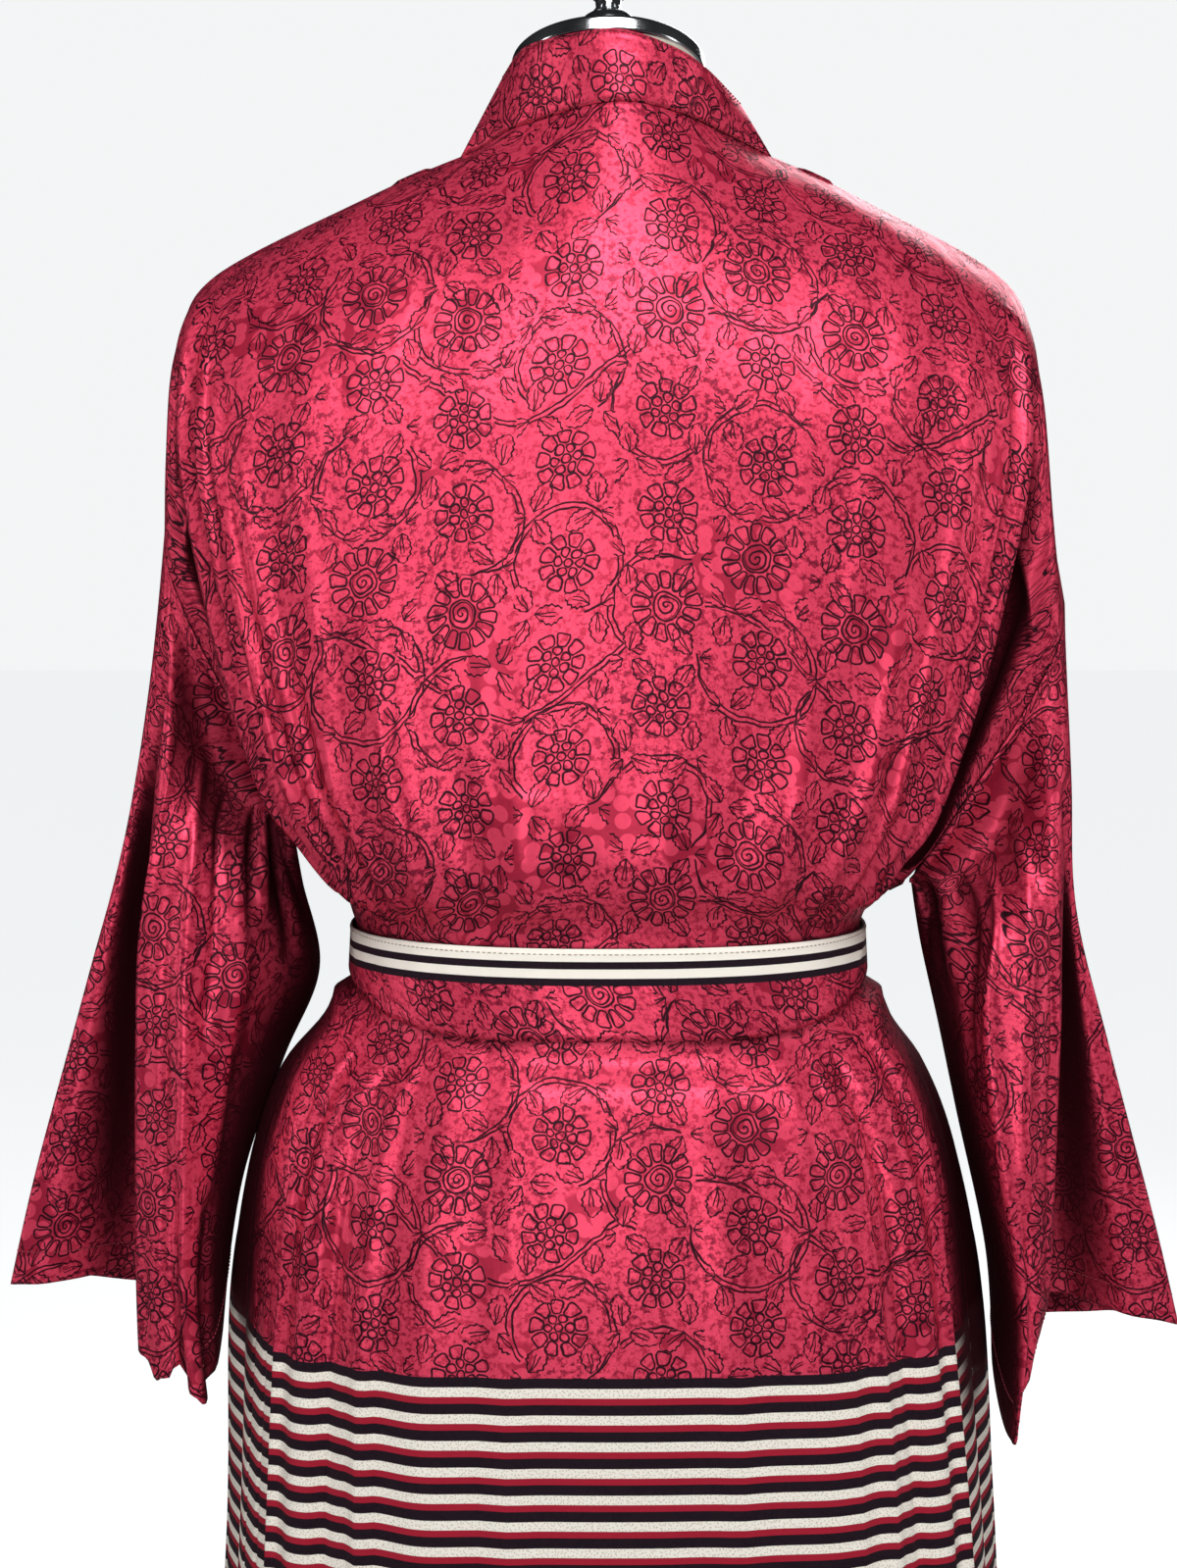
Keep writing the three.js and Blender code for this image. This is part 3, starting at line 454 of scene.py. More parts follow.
def loose_folds(
    seed: int, count: int, across: tuple, levels: tuple, depth: float, lean: float
) -> tuple:
    """Small folds strewn over a stretch of cloth, the same on every run.

    Args:
        seed: the random generator's seed.
        count: how many.
        across: the first and last station that they may lie on.
        levels: the first and last level.
        depth: the greatest height, in millimetres.
        lean: how far a fold leans outwards over a level, as a share of its place across.

    Returns:
        Rows as fold_height takes them.
    """
    chance = np.random.default_rng(seed)
    rows = []
    for _ in range(count):
        start, top = chance.uniform(*across), chance.uniform(levels[0], levels[1] - 1)
        foot = min(top + chance.uniform(1.4, 4.2), levels[1])
        width, height = chance.uniform(0.07, 0.17), depth * chance.uniform(0.3, 1)
        end = start * (1 + lean * (foot - top))
        rows.append((start, top, foot, width, height * chance.choice((1, -1)), end))
    return tuple(rows)


# --- The nets that the body's cloth is read from ------------------------------------------------


def placed(point: tuple, station: str, level: int, side: int) -> tuple:
    """A table point on one side of the body; the wearer's right side slips down.

    Args:
        point: x measured outwards, y and z.
        station: its station's name.
        level: its level.
        side: 1 for the wearer's left and -1 for the right.

    Returns:
        The point as x, y and z.
    """
    x, y, z = point
    if side > 0 or station not in SLIPS:
        return side * x, y, z
    fall = min(level / UNDERARM, 1)
    fade = min(max((SLIP_LAST - level) / (SLIP_LAST - UNDERARM), 0), 1)
    out, down = (lerp(pair[0], pair[1], fall) * fade for pair in SLIPS[station])
    return side * (x + out), y, z - down


ARMHOLE_DEPTHS = (0, 8, 20, 25, 22, 13)  # how far the back's sewn edge falls in at each level


def back_net() -> np.ndarray:
    """The back panel's table over both halves.

    Returns:
        Points of shape (levels, 13, 3), from the wearer's right edge to the left one.
    """
    rows = []
    for index, row in enumerate(BACK_ROWS):
        halves = {
            side: [placed(p, name, index, side) for name, p in zip(BACK_STATIONS, row)]
            for side in (-1, 1)
        }
        rows.append(halves[-1][:0:-1] + halves[1])
    net = np.array(rows, float)
    for level, depth in enumerate(ARMHOLE_DEPTHS):
        net[level, (0, -1), 1] -= depth
    return net


def front_curves() -> np.ndarray:
    """The curve that the front follows from side to side.

    Returns:
        Rows of height, depth and half width, from the hem up.
    """
    rows = []
    for _, seam_z, depth, mid, *_ in FRONT_ROWS[:0:-1]:
        share = (1 - (-mid[1] / depth) ** RING_POWER) ** (1 / RING_POWER)
        rows.append((seam_z, depth, mid[0] / share))
    return np.array(rows, float)


FRONT_CURVES = front_curves()
BACK_NET = back_net()


def front_y(x: Amount, z: Amount) -> Amount:
    """Depth of the front's surface.

    Args:
        x: places across.
        z: heights.

    Returns:
        y at those places.
    """
    curve = section_at(FRONT_CURVES, np.asarray(z, float))
    depth, half = curve[..., 0], curve[..., 1]
    return -depth * (1 - np.minimum(np.abs(x / half), 1) ** RING_POWER) ** (1 / RING_POWER)


def front_net(side: int) -> np.ndarray:
    """One front's table.

    Args:
        side: 1 for the wearer's left and -1 for the right.

    Returns:
        Points of shape (levels, 6, 3), from the neckband's seam to the sewn edge.
    """
    rows = []
    for index, (seam_x, seam_z, depth, *inner) in enumerate(FRONT_ROWS):
        y = depth if index == 0 else float(front_y(seam_x, seam_z))
        row = [(side * seam_x, y, seam_z)]
        for name, point in zip(("mid", "crest", "valley", "lobe"), inner):
            row.append(placed(point, name, index, side))
        x, y, z = placed(BACK_ROWS[index][-1], "edge", index, side)
        row.append((x, y if index == 0 or index >= UNDERARM else -y * 0.8, z))
        rows.append(row)
    return np.array(rows, float)


FRONT_NETS = {1: front_net(1), -1: front_net(-1)}


def on_net(net: np.ndarray, across: np.ndarray, levels: np.ndarray) -> np.ndarray:
    """A net read smoothly at every pair of a level and a place across."""
    by_level = along(net, levels)
    return np.swapaxes(along(np.swapaxes(by_level, 0, 1), across), 0, 1)


def creased(p: np.ndarray, fine: tuple, place: np.ndarray, level: np.ndarray) -> np.ndarray:
    """Raises fine folds straight out of the cloth.

    Args:
        p: the grid's points.
        fine: the folds, as fold_height takes them.
        place: the grid's stations.
        level: the grid's levels.

    Returns:
        The moved points.
    """
    if not fine:
        return p
    return p + outward(p, False) * fold_height(fine, place, level)[..., None]


def back_points(
    across: np.ndarray, levels: np.ndarray, folds: tuple, fine: tuple = ()
) -> np.ndarray:
    """Outer face of the back panel.

    Args:
        across: places from -6 at the wearer's right edge to 6 at the left one.
        levels: levels from 0 at the shoulder seam to 16 at the hem.
        folds: the folds raised in it, away from the body's axis.
        fine: the fine folds raised straight out of the cloth.

    Returns:
        Points of shape (levels, places, 3).
    """
    place, level = np.meshgrid(across, levels)
    near = np.abs(place)
    p = on_net(BACK_NET, across + 6, levels)
    p = push_out(p, fold_height(folds, place, level))
    p = leant(p, near, level)
    p = creased(p, fine, place, level)
    p = clear_of_form(p, REST_GAP + neck_room(near, level))
    p = cinch(p, 0)
    seam = ((level == 0) & (near >= 1)) | ((near == 6) & (level >= UNDERARM))
    p[..., 1] += np.where(seam, SEAM_GAP / 2, 0)
    return p


def layered(p: np.ndarray, side: int, share: Amount, margin: Amount = 0.0) -> np.ndarray:
    """Puts points of the upper or under front in their layer and draws them in under the sash.

    Args:
        p: points of the front.
        side: 1 for the upper front and -1 for the under one.
        share: how far they are in the wrap, from 0 to 1.
        margin: how far above and below the sash the cloth stays drawn in.

    Returns:
        The moved points.
    """
    if side > 0:
        p = push_out(p, WRAP_STEP * share)
    return cinch(p, 0 if side > 0 else WRAP_STEP * share, margin)


def front_points(
    side: int, across: np.ndarray, levels: np.ndarray, folds: tuple, fine: tuple = ()
) -> np.ndarray:
    """Outer face of a front.

    Args:
        side: 1 for the wearer's left, which is the upper front, and -1 for the right.
        across: places from 0 at the neckband's seam to 5 at the sewn edge.
        levels: levels from 0 at the shoulder seam to 16 at the hem.
        folds: the folds raised in it, away from the body's axis.
        fine: the fine folds raised straight out of the cloth.

    Returns:
        Points of shape (levels, places, 3).
    """
    place, level = np.meshgrid(across, levels)
    p = on_net(FRONT_NETS[side], across, levels)
    p = push_out(p, fold_height(folds, place, level))
    p = leant(p, place + 1, level)
    p = creased(p, fine, place, level)
    p = clear_of_form(p, REST_GAP + 0.5 + neck_room(place + 1, level))
    share = np.clip((2.3 - place) / 1.3, 0, 1) * np.minimum(level / 2, 1)
    p = layered(p, side, share, BAND_MARGIN * share)
    back = back_points(side * (across + 1), levels, BACK_FOLDS)
    back[..., 1] -= SEAM_GAP
    seam = (level == 0) | ((place == 5) & (level >= UNDERARM))
    return np.where(seam[..., None], back, p)


# --- Sheets of cloth ----------------------------------------------------------------------------


def outward(points: np.ndarray, loop: bool, in_seam: np.ndarray | None = None) -> np.ndarray:
    """Outward directions of a grid of points.

    Args:
        points: shape (rows, columns, 3), with columns running so that the outside is outside.
        loop: whether each row closes on itself.
        in_seam: where the direction is kept in a seam's plane.

    Returns:
        Unit vectors of the same shape.
    """
    down = np.gradient(points, axis=0)
    if loop:
        side = np.roll(points, -1, axis=1) - np.roll(points, 1, axis=1)
    else:
        side = np.gradient(points, axis=1)
    normal = np.cross(side, down)
    if in_seam is not None:
        normal[..., 1] = np.where(in_seam, 0, normal[..., 1])
    return normal / np.maximum(np.linalg.norm(normal, axis=-1, keepdims=True), 1e-9)


def arc(points: np.ndarray, axis: int) -> np.ndarray:
    """Length run along a grid.

    Args:
        points: the grid's points.
        axis: 0 for down the rows and 1 for along them.

    Returns:
        Each point's length from the first one.
    """
    steps = np.linalg.norm(np.diff(points, axis=axis), axis=-1)
    pad = [(0, 0), (0, 0)]
    pad[axis] = (1, 0)
    return np.pad(np.cumsum(steps, axis=axis), pad)


@dataclass
class Sheet:
    """A sheet of cloth as a grid of outer points, which becomes a closed wall.

    Attributes:
        points: outer face, (rows, columns, 3), in millimetres.
        thickness: wall, in millimetres.
        zero_row: the row where the lengthwise cloth coordinate is 0.
        zero_column: the column where the crosswise one is 0.
        loop: whether each row closes on itself.
        hanging: whether the coordinates are measured level and down the slope, so that the print
            isn't sheared where rows and columns cross at a slant.
        turned: whether the cloth's crosswise direction runs along the piece, from its first edge.
        normals: outward directions, worked out from the points if left out.
        offset: added to the cloth coordinates, so that the print falls differently on each piece.
    """

    points: np.ndarray
    thickness: float
    zero_row: int = 0
    zero_column: int = 0
    loop: bool = False
    hanging: bool = False
    turned: bool = False
    normals: np.ndarray | None = None
    offset: tuple = (0.0, 0.0)

    def __post_init__(self) -> None:
        """Works out the normals that weren't given."""
        if self.normals is None:
            self.normals = outward(self.points, self.loop)

    def cloth_map(self) -> np.ndarray:
        """Cloth coordinates of the grid.

        Returns:
            Millimetres, (rows, columns, 2); a loop has one more column.
        """
        if self.hanging:
            return self.hung_map() + self.offset
        wrapped = self.points
        if self.loop:
            wrapped = np.concatenate([wrapped, wrapped[:, :1]], axis=1)
        u = arc(wrapped, 1)
        v = arc(wrapped, 0)
        u = u - u[:, self.zero_column : self.zero_column + 1]
        v = v[self.zero_row : self.zero_row + 1] - v
        if self.turned:
            u, v = v, -u
        return np.stack([u + self.offset[0], v + self.offset[1]], axis=-1)

    def hung_map(self) -> np.ndarray:
        """Cloth coordinates of a loop measured level and down the slope.

        Returns:
            Millimetres, (rows, columns + 1, 2).
        """
        normal = outward(self.points, True)
        normal, points = (np.concatenate([a, a[:, :1]], axis=1) for a in (normal, self.points))
        level = np.cross(normal, (0.0, 0.0, 1.0))
        level /= np.maximum(np.linalg.norm(level, axis=-1, keepdims=True), 0.2)
        frame = np.stack([level, -np.cross(normal, level)], axis=-2)

        def run(axis: int) -> np.ndarray:
            """Sums up both coordinates along the grid.

            Args:
                axis: 0 for down the rows and 1 for along them.

            Returns:
                The sums, 0 at the first point.
            """
            p, f = (np.moveaxis(a, axis, 0) for a in (points, frame))
            steps = (np.diff(p, axis=0)[..., None, :] * (f[:-1] + f[1:]) / 2).sum(axis=-1)
            total = np.concatenate([np.zeros_like(steps[:1]), np.cumsum(steps, axis=0)])
            return np.moveaxis(total, 0, axis)

        zero = slice(self.zero_column, self.zero_column + 1)
        across = run(1)
        flat = across - across[:, zero] + run(0)[:, zero]
        return flat - flat[self.zero_row, self.zero_column]

    def faces(self) -> tuple[np.ndarray, np.ndarray]:
        """The closed wall's faces.

        Returns:
            The quads, and for each corner its row and column in the cloth map.
        """
        rows, cols = self.points.shape[:2]
        spans = cols if self.loop else cols - 1
        count = rows * cols
        quads, places = [], []

        def add(corners: list[tuple]) -> None:
            """Adds quads; a corner is (row, column, layer) as arrays of one shape."""
            ids = [r * cols + c % cols + layer * count for r, c, layer in corners]
            quads.append(np.stack(ids, -1))
            places.append(np.stack([np.stack([r, c], -1) for r, c, _ in corners], -2))

        i, j = (a.ravel() for a in np.meshgrid(range(rows - 1), range(spans), indexing="ij"))
        add([(i, j, 0), (i, j + 1, 0), (i + 1, j + 1, 0), (i + 1, j, 0)])
        add([(i, j, 1), (i + 1, j, 1), (i + 1, j + 1, 1), (i, j + 1, 1)])
        j = np.arange(spans)
        top, foot = np.zeros_like(j), np.full_like(j, rows - 1)
        add([(top, j + 1, 0), (top, j, 0), (top, j, 1), (top, j + 1, 1)])
        add([(foot, j, 0), (foot, j + 1, 0), (foot, j + 1, 1), (foot, j, 1)])
        if not self.loop:
            i = np.arange(rows - 1)
            left, right = np.zeros_like(i), np.full_like(i, cols - 1)
            add([(i, left, 0), (i + 1, left, 0), (i + 1, left, 1), (i, left, 1)])
            add([(i + 1, right, 0), (i, right, 0), (i, right, 1), (i + 1, right, 1)])
        return np.concatenate(quads), np.concatenate(places)

    def build(self, name: str) -> bpy.types.Object:
        """Makes the sheet's mesh object, in metres, with its cloth coordinates as a UV map.

        Args:
            name: the object's name.

        Returns:
            The new object, linked to the scene.
        """
        outer = self.points.reshape(-1, 3)
        inner = outer - self.normals.reshape(-1, 3) * self.thickness
        quads, places = self.faces()
        mesh = mesh_from(name, np.concatenate([outer, inner]), quads)
        layer = mesh.uv_layers.new(name="cloth")
        uv = self.cloth_map()[places[..., 0], places[..., 1]] * MM
        layer.data.foreach_set("uv", uv.astype(np.float32).ravel())
        return add_object(name, mesh)

    def outer_area(self) -> float:
        """Area of the outer face.

        Returns:
            Square metres.
        """
        p = self.points
        if self.loop:
            p = np.concatenate([p, p[:, :1]], axis=1)
        a, b, c, d = p[:-1, :-1], p[:-1, 1:], p[1:, 1:], p[1:, :-1]
        cross = np.linalg.norm(np.cross(c - a, d - b), axis=-1)
        return float(cross.sum() / 2 * MM * MM)


def mesh_from(name: str, points: np.ndarray, faces: list | np.ndarray) -> bpy.types.Mesh:
    """A smooth-shaded mesh in metres.

    Args:
        name: its name.
        points: points in millimetres.
        faces: the corners of each face.

    Returns:
        The mesh.
    """
    mesh = bpy.data.meshes.new(name)
    mesh.from_pydata((points * MM).tolist(), [], [list(map(int, f)) for f in faces])
    mesh.shade_smooth()
    mesh.update()
    return mesh


def add_object(name: str, data: bpy.types.ID) -> bpy.types.Object:
    """Adds an object to the scene.

    Args:
        name: its name.
        data: its mesh, light or camera.

    Returns:
        The object.
    """
    made = bpy.data.objects.new(name, data)
    bpy.context.scene.collection.objects.link(made)
    return made


def finer(counts: tuple) -> np.ndarray:
    """Places 0, 1, 2 ... with the stated number of steps in each span."""
    places = [span + k / count for span, count in enumerate(counts) for k in range(count)]
    return np.array([*places, len(counts)], float)


# --- The pieces of the robe ---------------------------------------------------------------------

BODY_STEPS = (10, 10, 10, 10, 10, 10, 10, 7, 7, 9, 7, 9, 12, 16, 22, 22)  # rows in each level
BODY_LEVELS = finer(BODY_STEPS)
BACK_SPANS = (12, 14, 20, 18, 12, 8)  # columns between the back's stations, from the middle out
FRONT_SPANS = (14, 20, 18, 12, 8)
ARMHOLE_ROWS = sum(BODY_STEPS[:UNDERARM]) + 1
BOUNDARY_ROW = sum(BODY_STEPS[:BOUNDARY])
SLEEVE_STEPS = (20, 16, 16, 20, 14)
# Where each piece is cut from the printed cloth, in millimetres across it.
FRONT_OFFSET, SLEEVE_OFFSET, BAND_OFFSET, SASH_OFFSET = 300.0, 700.0, 1200.0, 90.0

# Finer folds than the solids have, as rows of across, from, to, width, depth and end across.
HUNG_FOLDS = (
    (2.98, 0.7, 8.3, 0.11, 9.5, 2.98),
    (2.82, 1.6, 8.8, 0.085, 6.5, 2.70),
    (2.66, 2.4, 8.9, 0.075, 5.5, 2.42),
    (2.47, 3.2, 8.9, 0.075, 4.2, 2.15),
    (2.90, 1.4, 8.6, 0.055, -5.0, 2.84),
    (2.74, 2.1, 8.8, 0.055, -4.6, 2.56),
    (2.56, 3.0, 8.9, 0.055, -3.4, 2.28),
    (2.2, 4.2, 8.9, 0.10, 3.2, 1.8),
    (-2.95, 0.9, 8.4, 0.11, 9.5, -2.95),
    (-2.74, 2.2, 8.8, 0.10, 5.0, -2.62),
    (-2.84, 1.8, 8.6, 0.06, -3.6, -2.80),
    (-2.58, 3.0, 8.9, 0.07, -3.4, -2.36),
    (-2.4, 3.0, 8.9, 0.10, 4.0, -2.1),
    (-1.95, 4.4, 8.9, 0.11, 3.4, -1.7),
    (1.5, 4.9, 8.9, 0.13, 3.6, 1.36),
    (0.95, 5.8, 8.9, 0.12, -3.0, 0.9),
    (0.55, 5.6, 8.9, 0.14, 3.2, 0.56),
    (-0.3, 6.0, 8.9, 0.15, 3.0, -0.36),
    (0.15, 6.4, 8.9, 0.13, -3.0, 0.12),
    (-0.8, 6.2, 8.9, 0.12, -2.6, -0.8),
    (-1.25, 5.4, 8.9, 0.14, 3.0, -1.2),
)
SKIRT_FOLDS = (
    (2.7, 9.9, 16.6, 0.12, 5.0, 2.9),
    (3.6, 9.6, 12.4, 1.1, 5.5),
    (-3.6, 9.6, 12.4, 1.1, 4.0),
    (1.62, 10.0, 16.4, 0.16, 4.0, 1.7),
    (1.95, 10.2, 15.5, 0.12, -3.4, 2.05),
    (0.55, 10.4, 15.0, 0.2, 2.6, 0.6),
    (-1.85, 10.0, 16.6, 0.13, 4.6, -2.0),
    (-2.2, 10.2, 15.6, 0.12, -4.0, -2.3),
    (-3.1, 9.9, 16.6, 0.14, 5.0, -3.25),
    (-0.7, 10.2, 14.4, 0.18, 2.6, -0.74),
)
ARMHOLE_POCKETS = ((-4.8, 2.3, 7.5, 0.8, -23.0), (4.8, 2.3, 7.3, 0.75, -19.0))
FINE_BACK = (
    HUNG_FOLDS
    + SKIRT_FOLDS
    + ARMHOLE_POCKETS
    + loose_folds(11, 30, (-3.0, 3.0), (1.4, 8.9), 1.5, -0.03)
    + loose_folds(23, 24, (-4.6, 4.6), (9.9, 16.4), 1.8, 0.01)
)
FINE_FRONT = loose_folds(31, 22, (0.7, 3.4), (1.4, 8.9), 3.0, -0.02) + loose_folds(
    47, 16, (0.7, 4.0), (9.9, 16.4), 3.0, 0.01
)


class Side(Enum):
    """The wearer's side that a piece is on."""

    LEFT = 1
    RIGHT = -1

    @property
    def word(self) -> str:
        """The side's word in piece and table names."""
        return self.name.lower()


class Hold(Enum):
    """How a sheet of cloth is held."""

    HUNG = "hung"


@dataclass
class Piece:
    """A piece of the part that rides on the root body and stands for CAD nodes.

    Attributes:
        name: object name in the scene.
        node: the CAD node it stands for.
        slot: the record's material slot; not used.
        material: the material it wears.
    """

    name: str
    node: str
    slot: str
    material: bpy.types.Material

    def settle(self, made: bpy.types.Object) -> bpy.types.Object:
        """Gives the object its material and its place in the frame.

        Args:
            made: the finished mesh object.

        Returns:
            The same object.
        """
        made.data.materials.clear()
        made.data.materials.append(self.material)
        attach(made, "root")
        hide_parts(self.node)
        LOG.info("%s: %d faces", self.name, len(made.data.polygons))
        return made


@dataclass
class Cloth(Piece):
    """A piece that is a sheet of cloth.

    Attributes:
        flat: width and length of the cut, in metres.
        held: how the cloth is held; not used.
        rests_on: what it lies on or hangs from; not used.
    """

    flat: tuple = (1.0, 1.0)
    held: Hold = Hold.HUNG
    rests_on: tuple = ("form_torso",)

    def sheet(self) -> Sheet:
        """The piece's grid of points; each kind of piece works out its own."""
        raise NotImplementedError

    def make(self) -> Sheet:
        """Builds the object and logs its cloth's outer area and flat size.

        Returns:
            The sheet, whose rows and columns neighbours and seams are read from.
        """
        sheet = self.sheet()
        made = self.settle(sheet.build(self.name))
        LOG.info("%s: outer area %.3f m2, flat %s", self.name, sheet.outer_area(), self.flat)
        return sheet


@dataclass
class BackPanel(Cloth):
    """The back, one cut of cloth from the shoulder seams to the hem."""

    folds: tuple = BACK_FOLDS
    fine: tuple = FINE_BACK

    def sheet(self) -> Sheet:
        """The back's grid.

        Returns:
            The sheet, from the wearer's right edge to the left one.
        """
        half = finer(BACK_SPANS)
        across = np.concatenate([-half[:0:-1], half])
        points = back_points(across, BODY_LEVELS, self.folds, self.fine)
        place, level = np.meshgrid(np.abs(across), BODY_LEVELS)
        seam = ((level == 0) & (place >= 1)) | ((level >= UNDERARM) & (place == 6))
        return Sheet(
            points,
            CLOTH_WALL,
            zero_row=BOUNDARY_ROW,
            zero_column=len(half) - 1,
            normals=outward(points, False, seam),
        )


@dataclass
class FrontPanel(Cloth):
    """One front, from the shoulder seam to the hem; the wearer's left one is the upper."""

    side: Side = Side.LEFT
    folds: tuple = FRONT_FOLDS
    fine: tuple = FINE_FRONT

    def sheet(self) -> Sheet:
        """The front's grid.

        Returns:
            The sheet, whose columns run so that the outer face is outside.
        """
        across = finer(FRONT_SPANS)[:: -self.side.value]
        points = front_points(self.side.value, across, BODY_LEVELS, self.folds, self.fine)
        place, level = np.meshgrid(across, BODY_LEVELS)
        seam = (level == 0) | ((level >= UNDERARM) & (place == 5))
        return Sheet(
            points,
            CLOTH_WALL,
            zero_row=BOUNDARY_ROW,
            zero_column=0 if self.side is Side.LEFT else len(across) - 1,
            normals=outward(points, False, seam),
            offset=(FRONT_OFFSET * self.side.value, 0.0),
        )


@dataclass
class Sleeve(Cloth):
    """A wide sleeve: one tube of cloth, sewn to the armhole and open at the cuff.

    Attributes:
        side: the wearer's side.
        back: the back panel's sheet.
        front: the front's sheet on that side.
        folds: folds raised along it, with the ring's stations as places across.
        dips: how far parts of the cuff hang down, written like folds.
        pocket: how far the cloth falls in behind the armhole's seam, in millimetres.
    """

    side: Side = Side.LEFT
    back: Sheet | None = None
    front: Sheet | None = None
    folds: tuple = ()
    dips: tuple = ()
    pocket: float = 24.0

    def armhole(self) -> tuple[np.ndarray, np.ndarray, np.ndarray]:
        """The armhole's sewn edge, round from the underarm.

        Returns:
            Its points, their outward directions and their levels.
        """
        left = self.side is Side.LEFT
        back_edge, front_edge = (-1, 0) if left else (0, -1)
        rows = slice(0, ARMHOLE_ROWS)
        levels = BODY_LEVELS[rows]

        def both(behind: np.ndarray, before: np.ndarray) -> np.ndarray:
            """The back's edge from the underarm up, then the front's edge down again."""
            return np.concatenate([behind[rows, back_edge][::-1], before[rows, front_edge][1:-1]])

        return (
            both(self.back.points, self.front.points),
            both(self.back.normals, self.front.normals),
            np.concatenate([levels[::-1], levels[1:-1]]),
        )

    def stations(self) -> np.ndarray:
        """Each column's station, from the inner one round by the outer one."""
        share = BODY_LEVELS[:ARMHOLE_ROWS] / UNDERARM
        return np.concatenate([share[::-1] * 4, -3 * share[1:-1]])

    def ring(self, row: tuple) -> np.ndarray:
        """Reads a table ring finely.

        Args:
            row: the ring's points.

        Returns:
            A closed row of points.
        """
        loop = np.array(row, float) * (self.side.value, 1, 1)
        wrapped = np.concatenate([loop[-4:], loop, loop[:1]])
        return along(wrapped, self.stations() + 4)

    def sheet(self) -> Sheet:
        """The sleeve's grid.

        Returns:
            The sheet, from the armhole to the cuff.
        """
        hole, hole_normals, levels = self.armhole()
        under = np.maximum(1 - (UNDERARM - levels) / 1.25, 0)[:, None]
        rings = [self.ring(row) for row in SLEEVE_RINGS[self.side.word]]
        heading = rings[0] - hole
        heading /= np.linalg.norm(heading, axis=-1, keepdims=True)
        room = np.array([self.side.value * 1.7, 0, -0.9]) * under
        stack = np.stack([hole + heading * (SEAM_GAP + 0.4) + room, *rings])
        places = finer(SLEEVE_STEPS)
        points = self.folded(along(stack, places), places)
        crest = int(np.argmin(np.abs(self.stations() - 2)))
        if self.side is Side.RIGHT:
            crest = len(hole) - 1 - crest
            points, hole_normals, under = points[:, ::-1], hole_normals[::-1], under[::-1]
        normals = outward(points, True)
        normals[0] = lerp(hole_normals, normals[0], under)
        normals[0] /= np.linalg.norm(normals[0], axis=-1, keepdims=True)
        return Sheet(
            points,
            CLOTH_WALL,
            zero_row=len(places) - 1,
            loop=True,
            zero_column=crest,
            hanging=True,
            normals=normals,
            offset=(SLEEVE_OFFSET * self.side.value, 40.0),
        )

    def folded(self, points: np.ndarray, places: np.ndarray) -> np.ndarray:
        """Raises the sleeve's own folds and lets its cuff hang.

        Args:
            points: the grid's points.
            places: its rows' places down the sleeve.

        Returns:
            The moved points.
        """
        place, level = np.meshgrid(self.stations(), places)
        height = fold_height(self.folds, place, level)
        behind = np.exp(-(((place - 2.8) / 1.1) ** 2)) * level / 0.4 * np.exp(1 - level / 0.4)
        height -= self.pocket * behind
        raised = points + outward(points, True) * (self.side.value * height)[..., None]
        raised[..., 2] -= fold_height(self.dips, place, level)
        return raised


